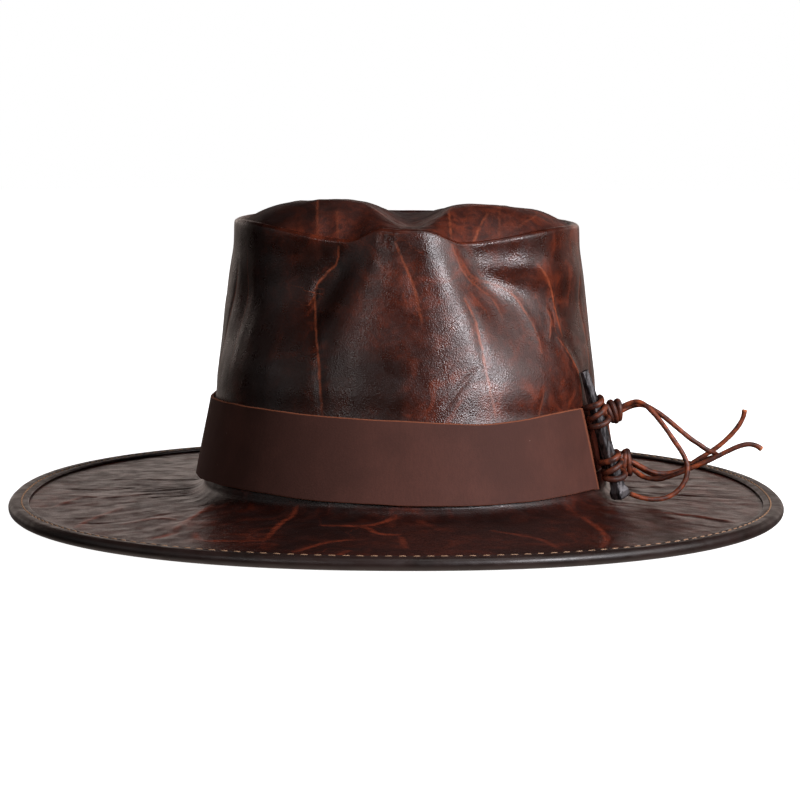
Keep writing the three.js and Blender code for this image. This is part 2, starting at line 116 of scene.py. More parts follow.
def make_piece(name, points, faces, materials, values=None, face_material=None, uv=None):
    """Mesh object from points or a grid of them. values are named numbers for each point."""
    mesh = bpy.data.meshes.new(name)
    mesh.from_pydata((np.reshape(points, (-1, 3)) * MM).tolist(), [], faces)
    for material in materials:
        mesh.materials.append(material)
    if face_material is not None:
        mesh.polygons.foreach_set("material_index", np.asarray(face_material, np.int32))
    mesh.polygons.foreach_set("use_smooth", np.ones(len(mesh.polygons), bool))
    for label, numbers in (values or {}).items():
        layer = mesh.attributes.new(label, "FLOAT", "POINT")
        layer.data.foreach_set("value", np.asarray(numbers, np.float32).ravel())
    if uv is not None:
        corners = np.empty(len(mesh.loops), np.int32)
        mesh.loops.foreach_get("vertex_index", corners)
        layer = mesh.uv_layers.new(name="UVMap")
        layer.data.foreach_set("uv", np.asarray(uv, np.float32)[corners].ravel())
    mesh.update()
    return add_object(name, mesh)


def join_rings(first, second, count):
    """Quads between two rings of count points each, from the number of each ring's first point."""
    after = [(c + 1) % count for c in range(count)]
    return [(first + c, first + after[c], second + after[c], second + c) for c in range(count)]


def grid_faces(rows, columns, start=0, flip=False):
    """Quads over a grid of points stored row by row, each row a ring."""
    faces = []
    for first in range(start, start + (rows - 1) * columns, columns):
        faces += join_rings(first, first + columns, columns)
    return [face[::-1] for face in faces] if flip else faces


def tube_faces(rows, columns, start=0):
    """Quads of a tube, and after them one face for each end."""
    last = start + (rows - 1) * columns
    ends = [tuple(range(start, start + columns))[::-1], tuple(range(last, last + columns))]
    return grid_faces(rows, columns, start) + ends


def grid_normals(grid):
    """Outward unit normals of a grid (rows, bearings, xyz) that is closed round its bearings."""
    around = np.roll(grid, -1, axis=1) - np.roll(grid, 1, axis=1)
    rise = np.gradient(grid, axis=0)
    normal = np.cross(around, rise)
    return normal / np.maximum(np.linalg.norm(normal, axis=2, keepdims=True), 1e-9)


def line_distance(flat, line):
    """Signed distance from points of a plane to a line, and where along the line (0 to 1) it is nearest."""
    step = np.diff(line, axis=0)
    away = flat[:, None] - line[:-1]
    t = np.clip((away * step).sum(axis=2) / np.maximum((step ** 2).sum(axis=1), 1e-9), 0, 1)
    gap = away - t[..., None] * step
    distance = np.hypot(gap[..., 0], gap[..., 1])
    turn = np.sign(step[:, 0] * away[..., 1] - step[:, 1] * away[..., 0])
    nearest = np.arange(len(flat)), distance.argmin(axis=1)
    side = np.where(turn[nearest] == 0, 1, turn[nearest])
    return distance[nearest] * side, (nearest[1] + t[nearest]) / len(step)


# Creases: how far one is felt, the offset where none is near, and how softly one ends
CREASE_REACH = 14
FAR = 50.0
CREASE_FADE = 0.35


def creases(flat, lines, where):
    """Relief of all creases in a plane, and the offset from the nearest coloured one with its strength.

    A crease is its height, negative for a groove, its width, how orange it is (0 to 1) and its points.
    """
    relief = np.zeros(len(flat))
    offset = np.full(len(flat), FAR)
    strength = np.zeros(len(flat))
    rows = np.flatnonzero(where)
    for height, width, tint, points in lines:
        curve = smooth_line(points, steps=6)
        box_low = curve.min(axis=0) - CREASE_REACH
        box_high = curve.max(axis=0) + CREASE_REACH
        near = rows[np.all((flat[rows] > box_low) & (flat[rows] < box_high), axis=1)]
        if len(near) == 0:
            continue
        distance, along = line_distance(flat[near], curve)
        fade = np.sin(math.pi * np.clip(along, 0.001, 0.999)) ** CREASE_FADE
        beside = (along > 0.0005) & (along < 0.9995)
        relief[near] += height * bell(distance, 0, width) * fade
        colour = tint * np.where(beside, fade, 0)
        nearer = (np.abs(distance) < np.abs(offset[near])) & (colour > 0)
        offset[near] = np.where(nearer, distance, offset[near])
        strength[near] = np.where(nearer, colour, strength[near])
    return relief, offset, strength


def padded(values, extra, filler=0):
    """The values of the outer face's points, followed by filler for the points that come after them."""
    return np.concatenate([np.ravel(values), np.full(extra, filler)])


def tube_rings(line, radius, sides):
    """Rings of points round a line, with a radius for each point of the line."""
    tangent = np.gradient(line, axis=0)
    tangent /= np.linalg.norm(tangent, axis=1, keepdims=True)
    side = np.cross(tangent[0], (0.0, 0.3, 1.0))
    angle = full_turn(sides)[:, None]
    rings = []
    for i, along in enumerate(tangent):
        side = side - along * (side @ along)
        side /= np.linalg.norm(side)
        other = np.cross(along, side)
        rings.append(line[i] + radius[i] * (np.cos(angle) * side + np.sin(angle) * other))
    return np.array(rings)


def make_tube(name, line, radius, sides, materials, end_material=0, flare=0.0):
    """Closed lace along a line, slightly uneven, with rounded ends. Its fibres are laid out in uv."""
    step = np.linalg.norm(np.diff(line, axis=0), axis=1)
    along = np.concatenate([[0], np.cumsum(step)])
    total = along[-1]
    uneven = 1 + 0.05 * noise(line, 3.1, 5) + 0.03 * noise(line, 1.3, 6)
    tip = np.minimum(along, total - along)
    rounded = 0.8 + 0.2 * np.sqrt(smooth(0, 0.5 * radius, tip))
    flared = 1 + flare * np.exp(-(total - along) / (1.2 * radius))
    points = tube_rings(line, radius * uneven * np.minimum(1, rounded) * flared, sides).reshape(-1, 3)
    turn = np.tile(np.arange(sides) / sides, len(line))
    uv = spots(np.repeat(along, sides), turn)
    angle = TURN * turn
    wobble = 0.05 * radius * noise(spots(uv[:, 0] / 6, 4 * np.cos(angle), 4 * np.sin(angle)), 1.0, 11)
    out = points - np.repeat(line, sides, axis=0)
    points = points + out / np.linalg.norm(out, axis=1, keepdims=True) * wobble[:, None]
    cut_from = int(np.searchsorted(along, total - 1.0))
    body = [0] * (cut_from * sides) + [end_material] * ((len(line) - 1 - cut_from) * sides)
    return make_piece(name, points, tube_faces(len(line), sides), materials,
                      face_material=body + [0, end_material], uv=uv)


# Camera, fitted to the rim and the crown in the photograph

camera_at = Vector((1.55, -1187.8, 170.7)) * MM
camera_aim = Vector((1.55, 0, 46.84)) * MM
camera_roll = math.radians(0.23)

camera_data = bpy.data.cameras.new("camera")
camera_data.sensor_width = 36
camera_data.lens = 117.36
camera_data.clip_end = 50
camera = add_object("camera", camera_data)
forward = (camera_aim - camera_at).normalized()
level = forward.cross(Vector((0, 0, 1))).normalized()
upright = level.cross(forward)
right = math.cos(camera_roll) * level + math.sin(camera_roll) * upright
up = math.cos(camera_roll) * upright - math.sin(camera_roll) * level
camera_turn = Matrix((right, up, -forward)).transposed().to_4x4()
camera.matrix_world = Matrix.Translation(camera_at) @ camera_turn
bpy.context.scene.camera = camera

# Materials


class Nodes:
    """The shader nodes of a material or world, with short names for those that it is built from."""

    def __init__(self, owner, place):
        owner.use_nodes = True
        self.tree = owner.node_tree
        self.place = self.add("ShaderNodeTexCoord").outputs[place]

    def add(self, kind, feeds=(), **settings):
        node = self.tree.nodes.new(kind)
        for key, value in settings.items():
            setattr(node, key, value)
        for key, value in dict(feeds).items():
            self.feed(node.inputs[key], value)
        return node

    def feed(self, socket, value):
        if isinstance(value, bpy.types.NodeSocket):
            self.tree.links.new(value, socket)
        else:
            socket.default_value = value

    def noise(self, cell, detail=3.0, place=None, rough=0.55, twist=0.0):
        """Noise with lumps about cell millimetres wide."""
        place = self.place if place is None else place
        feeds = {"Vector": place, "Scale": 1 / (cell * MM), "Detail": detail}
        feeds |= {"Roughness": rough, "Distortion": twist}
        return self.add("ShaderNodeTexNoise", feeds).outputs["Fac"]

    def cells(self, size):
        feeds = {"Vector": self.place, "Scale": 1 / (size * MM)}
        return self.add("ShaderNodeTexVoronoi", feeds).outputs["Distance"]

    def stretched(self, scale, place=None):
        feeds = {"Vector": self.place if place is None else place, "Scale": scale}
        return self.add("ShaderNodeMapping", feeds).outputs["Vector"]

    def value(self, name):
        return self.add("ShaderNodeAttribute", attribute_name=name).outputs["Fac"]

    def math(self, operation, a, b=0.0, c=0.0):
        return self.add("ShaderNodeMath", {0: a, 1: b, 2: c}, operation=operation).outputs[0]

    def times(self, product, *factors):
        for factor in factors:
            product = self.math("MULTIPLY", product, factor)
        return product

    def remap(self, value, low, high, to_low=0.0, to_high=1.0, way="SMOOTHSTEP"):
        feeds = {"Value": value, "From Min": low, "From Max": high, "To Min": to_low, "To Max": to_high}
        return self.add("ShaderNodeMapRange", feeds, interpolation_type=way).outputs["Result"]

    def patches(self, cell, detail, low, high, to_low=0.0, to_high=1.0):
        return self.remap(self.noise(cell, detail), low, high, to_low, to_high)

    def blend(self, part, a, b):
        """Colour a where part is 0, b where it is 1."""
        node = self.add("ShaderNodeMix", data_type="RGBA")
        self.feed(node.inputs[0], part)
        self.feed(node.inputs[6], a)
        self.feed(node.inputs[7], b)
        return node.outputs[2]

    def bump(self, height, strength, distance, normal=None):
        feeds = {"Height": height, "Strength": strength, "Distance": distance * MM}
        if normal is not None:
            feeds["Normal"] = normal
        return self.add("ShaderNodeBump", feeds).outputs["Normal"]


class Look(Nodes):
    """One material."""

    INPUTS = {
        "colour": "Base Color", "rough": "Roughness", "metal": "Metallic", "normal": "Normal",
        "shine": "Specular IOR Level", "sheen": "Sheen Weight", "glow": "Emission Color",
        "glow_strength": "Emission Strength",
    }

    def __init__(self, name):
        self.material = bpy.data.materials.new(name)
        super().__init__(self.material, "Object")
        self.surface = self.tree.nodes["Principled BSDF"]
        self.colour = None

    def paint(self, part, colour):
        """Cover the colours so far with another one, as far as part says."""
        self.colour = self.blend(part, self.colour, colour)

    def set(self, **values):
        values.setdefault("colour", self.colour)
        for key, value in values.items():
            self.feed(self.surface.inputs[self.INPUTS[key]], value)


def rgb(red, green, blue):
    """Colour from sRGB numbers of 0 to 255."""
    def linear(v):
        v /= 255
        return v / 12.92 if v <= 0.04045 else ((v + 0.055) / 1.055) ** 2.4
    return (linear(red), linear(green), linear(blue), 1.0)


def waxed_leather(name, dark, middle, warm, orange, rough, grain, patchy, line_width):
    """Oiled leather: nearly black with red-brown clouds, pebbled, more orange where it is creased."""
    look = Look(name)
    # broad tone follows a per-point tone that holds real red-brown patches together with painted light on
    # the right and painted shade on the left
    broad = look.math("MULTIPLY_ADD", look.value("tone_and_painted_light"), 0.16, look.noise(60, 3, twist=0.8))
    broad = look.remap(broad, 0.40, 0.66)
    clouds = look.remap(look.noise(17, 7, rough=0.62, twist=1.2), 0.47, 0.72)
    fibres = look.remap(look.noise(5, 6, rough=0.7, twist=0.5), 0.42, 0.72)
    speckle = look.patches(0.9, 2, 0.35, 0.7)
    tone = look.times(clouds, look.math("MULTIPLY_ADD", broad, 0.8, 0.2))
    look.colour = look.blend(look.times(broad, 0.7), dark, middle)
    look.paint(look.times(tone, patchy), warm)
    look.paint(look.times(fibres, broad, 0.35), warm)
    look.paint(look.times(speckle, 0.35), dark)

    # creases, from the offset that each point of the mesh carries
    waver = look.math("MULTIPLY_ADD", look.noise(3.5, 4), 1.6, -0.8)
    away = look.math("ABSOLUTE", look.math("ADD", look.value("crease_offset"), waver))
    line = look.remap(away, line_width, 0.1 * line_width)
    broken = look.patches(4, 4, 0.3, 0.62, 0.25, 1.0)
    line = look.times(line, broken, look.value("crease_strength"))
    halo = look.remap(away, 7.0, 0.5, 0.0, 0.5)
    halo = look.times(halo, look.value("crease_strength"), fibres)
    # the per-point value read here holds real scuffs and, on the crown's right lobe, a painted highlight
    wear_and_highlight_patches = look.times(look.value("wear_and_painted_highlight"), look.patches(5, 4, 0.35, 0.65))
    look.paint(halo, warm)
    look.paint(wear_and_highlight_patches, warm)
    look.paint(line, orange)

    pebbles = look.cells(0.62)
    pores = look.noise(0.45, 2)
    height = look.math("MULTIPLY_ADD", pebbles, 0.8, look.times(pores, 0.6))
    normal = look.bump(look.noise(1.6, 3), 0.14, 0.2)
    normal = look.bump(height, grain, 0.24, normal)
    roughness = look.patches(8, 3, 0.3, 0.7, rough - 0.06, rough + 0.07)
    roughness = look.math("MULTIPLY_ADD", look.value("dull"), 0.2, roughness)
    look.set(rough=roughness, normal=normal, shine=0.45)
    return look.material


crown_leather = waxed_leather(
    "crown_leather", dark=rgb(35, 15, 10), middle=rgb(68, 28, 19), warm=rgb(120, 52, 31),
    orange=rgb(144, 71, 43), rough=0.31, grain=0.42, patchy=0.8, line_width=0.9)
brim_leather = waxed_leather(
    "brim_leather", dark=rgb(24, 8, 6), middle=rgb(44, 16, 11), warm=rgb(86, 34, 20),
    orange=rgb(122, 50, 29), rough=0.37, grain=0.4, patchy=0.85, line_width=2.2)


def flesh_side():
    """Napped back of the leather, inside the crown and under the brim."""
    look = Look("rough_leather")
    tone = look.patches(20, 4, 0.35, 0.65)
    nap = look.noise(0.7, 3)
    look.colour = look.blend(tone, rgb(58, 38, 30), rgb(82, 55, 42))
    look.paint(look.remap(nap, 0.4, 0.7, 0.0, 0.5), rgb(104, 74, 58))
    look.set(rough=0.92, normal=look.bump(nap, 0.6, 0.25), shine=0.25, sheen=0.25)
    return look.material


rough_leather = flesh_side()


def binding_look():
    look = Look("binding_leather")
    tone = look.patches(18, 4, 0.35, 0.65)
    look.colour = look.blend(tone, rgb(30, 19, 16), rgb(43, 29, 26))
    grain = look.math("ADD", look.cells(0.7), look.noise(0.4, 2))
    roughness = look.patches(6, 3, 0.3, 0.7, 0.36, 0.5)
    look.set(rough=roughness, normal=look.bump(grain, 0.16, 0.08), shine=0.5)
    return look.material


binding_leather = binding_look()


def band_look():
    """Matte leather strip with a tan cut edge and a few pale specks."""
    look = Look("band_leather")
    cloud = look.patches(30, 4, 0.38, 0.64)
    streak = look.noise(1.0, 3, place=look.stretched((1.0, 1.0, 0.25)))
    speck = look.remap(look.cells(5.2), 0.055, 0.03)
    rare = look.patches(9, 1, 0.6, 0.63)
    look.colour = look.blend(cloud, rgb(73, 43, 36), rgb(83, 49, 41))
    look.paint(look.remap(streak, 0.35, 0.7, 0.0, 0.28), rgb(66, 40, 34))
    look.paint(look.times(speck, rare, 0.5), rgb(170, 140, 128))
    cut = look.times(look.value("cut"), look.patches(1.4, 3, 0.2, 0.55, 0.5, 1.0))
    look.paint(cut, rgb(134, 76, 52))
    height = look.math("ADD", look.noise(0.8, 4), look.times(streak, 0.5))
    look.set(rough=0.78, normal=look.bump(height, 0.35, 0.12), shine=0.22)
    return look.material


band_leather = band_look()


def fibre_look(name, low, high, mottle, detail, rough, fibre, depth):
    """Two tones of bare fibres: the thread, and the cut ends of the lace."""
    look = Look(name)
    look.colour = look.blend(look.noise(mottle, detail), low, high)
    look.set(rough=rough, normal=look.bump(look.noise(fibre, 2), 0.6, depth))
    return look.material


thread = fibre_look("thread", rgb(132, 99, 75), rgb(174, 138, 108), 0.8, 2, 0.6, 0.3, 0.08)
lace_end = fibre_look("lace_end", rgb(150, 78, 44), rgb(216, 126, 76), 0.5, 3, 0.8, 0.35, 0.1)


def lace_look(name, low, middle, high):
    """Round thong: dark and middle tones along its fibres, with orange patches that are partly scuffed
    leather and partly painted highlight.
    """
    look = Look(name)
    sheet = look.add("ShaderNodeUVMap").outputs["UV"]
    laid = look.stretched((0.00035, 0.012, 1.0), place=sheet)
    fibre = look.noise(1.0, 4, place=laid)
    rubbed_and_highlight = look.patches(3.4, 4, 0.34, 0.72)
    wear_and_highlight_patches = look.patches(16, 2, 0.35, 0.65, 0.25, 1.0)
    rubbed_and_highlight = look.times(rubbed_and_highlight, wear_and_highlight_patches)
    look.colour = look.blend(look.remap(fibre, 0.35, 0.62), low, middle)
    # painted highlight: the orange patches stand partly for highlights on the lace
    look.paint(look.times(rubbed_and_highlight, 0.8), high)
    height = look.math("ADD", fibre, look.times(look.noise(0.5, 3), 0.6))
    roughness = look.remap(fibre, 0.3, 0.7, 0.62, 0.45)
    look.set(rough=roughness, normal=look.bump(height, 0.5, 0.14), shine=0.45)
    return look.material


lace_leather = lace_look("lace_leather", rgb(30, 13, 9), rgb(76, 33, 19), rgb(184, 86, 41))
knot_leather = lace_look("knot_leather", rgb(28, 12, 9), rgb(62, 28, 18), rgb(146, 68, 35))


def iron_look():
    """Old forged iron: dark scale, brushed bare metal in upright streaks, a little rust."""
    look = Look("nail_iron")
    scale = look.remap(look.noise(1.6, 5, place=look.stretched((1.0, 1.0, 0.2))), 0.4, 0.62)
    rust = look.patches(4.0, 4, 0.56, 0.7)
    pits = look.cells(0.9)
    look.colour = look.blend(scale, rgb(38, 35, 36), rgb(108, 104, 106))
    look.paint(look.times(rust, 0.45), rgb(84, 56, 44))
    grooves = look.noise(0.9, 3, place=look.stretched((1.0, 1.0, 0.22)))
    height = look.math("ADD", look.times(grooves, 0.8), look.times(pits, 0.5))
    roughness = look.remap(scale, 0.0, 1.0, 0.66, 0.5)
    look.set(rough=roughness, metal=0.7, normal=look.bump(height, 0.6, 0.22), shine=0.5)
    return look.material


nail_iron = iron_look()

# Lace: free stretches, the same routes as in the solids

LACE_DIAMETER = 2.2
LACE_SIDES = 16
LACE_ROUTES = {
    "bow_loop_front": [
        (100.6, -32.5, 47.8), (106, -33.5, 50), (110, -35, 49), (114, -37, 45.5), (118.5, -39, 40),
        (123.2, -41, 33.2), (127, -42.5, 27.5), (128.7, -44, 22.5), (128, -45, 17), (124.5, -46, 12),
        (119.5, -47, 9), (113.5, -48, 8.2), (108, -48, 9), (103.2, -46.9, 10.5),
    ],
    "bow_loop_back": [
        (101, -30.3, 45.8), (106, -29.6, 47.8), (110.5, -30, 48), (115, -31.5, 46), (119.5, -32.5, 43),
        (125, -33.5, 38.5), (130.5, -34, 34), (135, -34, 31), (138.5, -33.5, 28.6), (141.8, -31.5, 27),
        (143.3, -28.5, 25.7), (142.4, -25.5, 24.4), (139.5, -24, 23), (135.5, -23.5, 21),
        (131, -23.5, 18.9), (125.5, -23.5, 17.2), (120.5, -23.5, 16.5), (115.5, -24, 17.2),
        (111, -24.4, 19.2), (106.1, -25.1, 21.8),
    ],
    "lace_tail_upper": [
        (104.9, -23.3, 21.6), (111, -20.6, 18.2), (116, -19.5, 15.6), (121, -18.5, 15), (126, -18.5, 16.3),
        (131.3, -18.5, 19), (135.7, -18.5, 22), (140.5, -18.5, 25), (145.3, -18.5, 28.3),
        (150, -18.5, 32.5), (154, -18.5, 37.2), (156.3, -18.5, 41.5), (157, -18.5, 45),
    ],
    "lace_tail_lower": [
        (106.2, -28, 18.8), (109.8, -29.5, 16.2), (113.5, -31.5, 15.2), (118.1, -33.5, 15.5),
        (123.8, -35.5, 17.5), (130.3, -37, 20.5), (137.4, -37.5, 23.6), (142.3, -37.5, 26),
        (147.3, -37.5, 28.5), (152, -37.5, 30.6), (156.2, -37.5, 31.6), (159.8, -37.5, 31),
        (162.4, -37.5, 29.4),
    ],
}
FREE_TAILS = ("lace_tail_upper", "lace_tail_lower")
# where a strand begins inside its knot, and where one ends in the other knot
LACE_STARTS = {
    "bow_loop_front": (98.2, -32.2, 46.4),
    "bow_loop_back": (98.8, -31.0, 44.8),
    "lace_tail_upper": (103.1, -25.2, 22.3),
    "lace_tail_lower": (103.8, -27.3, 20.8),
}
LACE_ENDS = {"bow_loop_back": [(103.4, -26.2, 22.4)]}

for name, route in LACE_ROUTES.items():
    line = smooth_line([LACE_STARTS[name], *route, *LACE_ENDS.get(name, [])], steps=10)
    loose_end = name in FREE_TAILS
    piece = make_tube(name + "_lace", line, LACE_DIAMETER / 2, LACE_SIDES, [lace_leather, lace_end],
                      end_material=1 if loose_end else 0, flare=0.12 if loose_end else 0)
    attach(piece, "root")
    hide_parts(name)

# Crown: the form of the solid, then its folds and wrinkles

CROWN_X = 4.1
CROWN_BOTTOM = 20
CROWN_HALF_WIDTH = 93.75
CROWN_HALF_FRONT = 112
CROWN_HALF_BACK = 111.5
# how far the wall leans in with each millimetre up
LEAN_SIDES = 0.1305
LEAN_FRONT = 0.2
LEAN_BACK = 0.16
BAND_TOP = 48.6
FOLD = 129.1
ROLL = 1.8
GUTTER = 4.6
GUTTER_DEPTH = 0.9
# points round the crown, rows of points up its wall, and the rows of the fold's crest and the top's start
BEARINGS = 480
WALL_ROWS = 104
CREST_ROW = WALL_ROWS + 5
TOP_ROW = WALL_ROWS + 8
# the two front pinches: dip of the fold, with its start, deepest place and end; push inwards, with its
# middle and its spread outwards
PINCHES = (
    dict(side=-1, dip=6.0, inner=10, deep=27, outer=76, push=11.0, centre=28, spread_out=32),
    dict(side=1, dip=6.3, inner=6, deep=26, outer=74, push=10.5, centre=30, spread_out=20),
)


def oval_radius(bearing, half_width, half_length, power=2.2):
    across = np.abs(np.sin(bearing)) / half_width
    along = np.abs(np.cos(bearing)) / half_length
    return (across ** power + along ** power) ** (-1 / power)


def rim_radius(bearing):
    return oval_radius(bearing, RIM_HALF_WIDTH, RIM_HALF_LENGTH)


def wall_radius(bearing, z):
    """Distance of the wall's outer face from the crown's axis, without the pinches."""
    front, back = CROWN_HALF_FRONT - LEAN_FRONT * z, CROWN_HALF_BACK - LEAN_BACK * z
    half_length = np.where(np.cos(bearing) > 0, front, back)
    squeeze = 0.8 * smooth(BAND_TOP + 12, BAND_TOP, z)
    flare = smooth(FOLD - 14, FOLD, z)
    return oval_radius(bearing, CROWN_HALF_WIDTH - LEAN_SIDES * z, half_length) - squeeze + flare


def pinch_push(bearing, z):
    across = wall_radius(bearing, z) * np.sin(bearing)
    push = np.zeros(np.shape(across))
    for pinch in PINCHES:
        centre = pinch["centre"] + 0.42 * np.maximum(0, 128 - z)
        past = across * pinch["side"] - centre
        spread = np.where(past > 0, pinch["spread_out"] + 9 * smooth(112, 92, z), 15)
        push = push + pinch["push"] * bell(past, 0, spread)
    keep = smooth(64, 108, z) * (1 - 0.25 * smooth(108, 128, z))
    return push * keep * smooth(0.1, 0.55, np.cos(bearing))


def crown_radius(bearing, z):
    return wall_radius(bearing, z) - pinch_push(bearing, z)


def fold_height(bearing):
    across = wall_radius(bearing, FOLD) * np.sin(bearing)
    front = -1.2 * bell(across, 0, 14)
    for pinch in PINCHES:
        out = across * pinch["side"]
        down = smooth(pinch["inner"], pinch["deep"], out)
        up = smooth(pinch["deep"] + 2, pinch["outer"], out)
        front = front - pinch["dip"] * down * (1 - up)
    back = 1.8 * np.cos(bearing) ** 2
    return FOLD - 0.9 * np.sin(bearing) + np.where(np.cos(bearing) > 0, front, back)


def top_height(bearing, inward, across, y):
    """Height of the top at a distance inward from the fold: roll, gutter, then the two lobes."""
    fold = fold_height(bearing)
    lobe = mix(138.8, 136.9, smooth(-12, 12, across))
    lobe = lobe - 4.4 * (np.maximum(0, np.abs(across) - 27) / 45) ** 1.5 - 4 * ((y + 15) / 75) ** 2
    lobe = lobe + 1.1 * bell(y, -44, 20)
    roll = fold - ROLL + np.sqrt(np.maximum(0, ROLL ** 2 - np.maximum(0, ROLL - inward) ** 2))
    sunk = 0.5 - 0.5 * np.cos(math.pi * np.clip((inward - ROLL) / (GUTTER - ROLL), 0, 1))
    gutter = fold - GUTTER_DEPTH * sunk
    reach = mix(18, 28, np.cos(bearing) ** 2)
    t = np.clip((inward - GUTTER) / reach, 0, 1)
    dome = mix(fold - GUTTER_DEPTH, lobe, 1 - (1 - t) ** 2.4)
    height = np.where(inward < ROLL, roll, np.where(inward < GUTTER, gutter, dome))
    away = 1 - bell(across, 1.5, 14)
    floor = mix(128, 130, smooth(-75, 75, y))
    return mix(height, mix(floor, height, away), smooth(0.5 * ROLL, 2.6 * GUTTER, inward))


def crown_grid(bearing):
    """Rows of points up the wall, over the roll and in towards the middle of the top."""
    roll_start = fold_height(bearing) - ROLL
    top_radius = crown_radius(bearing, roll_start)
    rows = []
    for part in np.linspace(0, 1, WALL_ROWS):
        z = mix(CROWN_BOTTOM, roll_start, part)
        rows.append((crown_radius(bearing, z), z))
    inward_rows = [ROLL * (1 - math.cos(angle)) for angle in np.radians(np.arange(12, 91, 13))]
    inward_rows += [*np.arange(2.4, 6, 0.45), *np.arange(6.5, 27, 1.2)]
    inward_rows += [mix(inward_rows[-1], top_radius, part) for part in np.linspace(0.05, 0.98, 34)]
    for inward in inward_rows:
        radius = top_radius - inward
        across, y = radius * np.sin(bearing), -radius * np.cos(bearing)
        rows.append((radius, top_height(bearing, inward, across, y)))
    return np.array([ring(radius, bearing, z, CROWN_X) for radius, z in rows])


# length of one degree along the wall, and the bearing beyond which a crease belongs to the back
WALL_ARC = 88 * math.pi / 180
FRONT_HALF = 62
# Creases of the crown's wall, at points of (bearing in degrees, height above the ground)
CROWN_CREASES = [
    (-0.7, 1.8, 1.0, [
        (-21.4, 121.4), (-22.2, 113.4), (-25.6, 108.9), (-28.7, 103.4), (-28.3, 96.3), (-23.5, 77.7),
        (-21.8, 65.2), (-20.5, 49)]),
    (-0.3, 1.5, 0.6, [(-30.2, 94.3), (-28.6, 102.8)]),
    (-0.15, 2.0, 0.7, [(-3.4, 123.7), (-1.6, 116.8), (0.9, 108.5), (2.5, 100.9), (4, 89)]),
    (-0.35, 1.8, 1.0, [(15.6, 100), (18.1, 91), (19.3, 81.5), (20.5, 65.5), (22.4, 47)]),
    (0.5, 2.4, 0.6, [(12.6, 123.6), (14.3, 116.6), (17, 108.8), (22.7, 102.2), (26.6, 97.3), (28.2, 89)]),
    (0.4, 2.4, 0.7, [
        (15.4, 116.6), (20, 108), (28.5, 103.7), (33.9, 99.1), (36.8, 91.2), (38.6, 83.4), (38.8, 74)]),
    (-0.3, 3.2, 0, [(15, 121), (18.5, 111), (24, 106.3), (31, 103), (37, 99)]),
    (-0.3, 3.0, 0, [(20, 106), (26, 100.5), (30, 94)]),
    (0.5, 2.2, 1.0, [(41.5, 113), (46.8, 104.4), (49, 96.3), (49.8, 80)]),
    (0.3, 1.6, 0.7, [(45.2, 94), (46.2, 88), (43.2, 80)]),
    (0.5, 2.2, 0.9, [(46.8, 81), (51.8, 71), (55.1, 61.9), (57, 48)]),
    (-0.45, 1.0, 0, [(17.8, 70), (13.1, 61.7), (9, 53)]),
    (-0.3, 1.4, 0.5, [(37.3, 60.3), (35, 48)]),
    (0.08, 3.6, 0, [(-65.7, 112), (-63.1, 86.1), (-60.4, 60)]),
    (0.08, 3.4, 0, [(-54.4, 116), (-56, 86.9), (-55.7, 58)]),
    (-0.08, 3.4, 0.3, [(-60, 118), (-59, 90), (-58, 55)]),
    (0.08, 4.0, 0, [(-74, 108), (-72, 80), (-73, 56)]),
    (-0.2, 4, 0, [(-28, 84), (-33, 66), (-37, 52)]),
    (0, 1.5, 0.45, [(-9, 126.4), (0, 127), (7, 126.5), (13, 123.6), (17, 121)]),
    (-0.5, 1.6, 0, [(-4.6, 126), (-4.2, 120)]),
    (-0.5, 1.4, 0, [(-7.0, 126.5), (-7.2, 122)]),
    (0.5, 6, 0, [(-5, 124), (-9.5, 114), (-14, 104), (-18.5, 94), (-21, 80)]),
    (0.5, 6.5, 0, [(4.5, 124), (9.5, 110.4), (14.3, 100.2), (18.3, 88)]),
]
wander = np.random.default_rng(12)
for first in range(66, 290, 17):
    low, high = 48 + 18 * wander.random(), 78 + 44 * wander.random()
    height = 0.9 * (wander.random() - 0.55)
    width = 1.6 + wander.random()
    tint = 0.35 + 0.6 * wander.random()
    points = [(first + 7 * (wander.random() - 0.5) + 3 * k, mix(low, high, k / 3)) for k in range(4)]
    CROWN_CREASES.append((height, width, tint, points))

# Redder and darker places of the wall and the top, real red-brown patches together with painted light and
# painted shade: across, height or y, reach of both, amount
WALL_TONE_AND_PAINTED_LIGHT = [
    (16, 102, 15, 6, 1.2),
    (-10, 107, 11, 6, 0.8),
    (14, 85, 7, 12, 0.9),
    # painted light: the crown's right side made redder
    (50, 92, 32, 44, 1.3),
    (60, 62, 16, 14, 0.6),
    (-48, 76, 26, 40, 0.4),
    # painted shade: the left side and the hollow under the left fold made darker
    (-62, 80, 26, 60, -1.0),
    (-36, 114, 14, 10, -1.4),
    (-34, 90, 8, 30, -0.8),
    (-14, 66, 14, 16, -0.6),
    (28, 66, 8, 16, -0.5),
]
TOP_TONE_AND_PAINTED_LIGHT = [
    # painted light: the right lobe made redder
    (34, -56, 28, 26, 1.8),
    (-18, -60, 14, 14, 0.6),
    # painted shade: the left lobe made darker
    (-54, -46, 22, 30, -0.8),
]


def tone_and_painted_light(flat, places):
    total = np.zeros(len(flat))
    for across, up, reach_across, reach_up, amount in places:
        total += amount * bell(flat[:, 0], across, reach_across) * bell(flat[:, 1], up, reach_up)
    return total


# Broad swellings of the wall: bearing, height, reach round and up, amount
CROWN_SWELLINGS = [
    (31, 111.5, 12, 5.5, 1.1),
    (20, 76, 13, 14, 0.6),
    (-13, 78, 12, 16, 0.5),
]

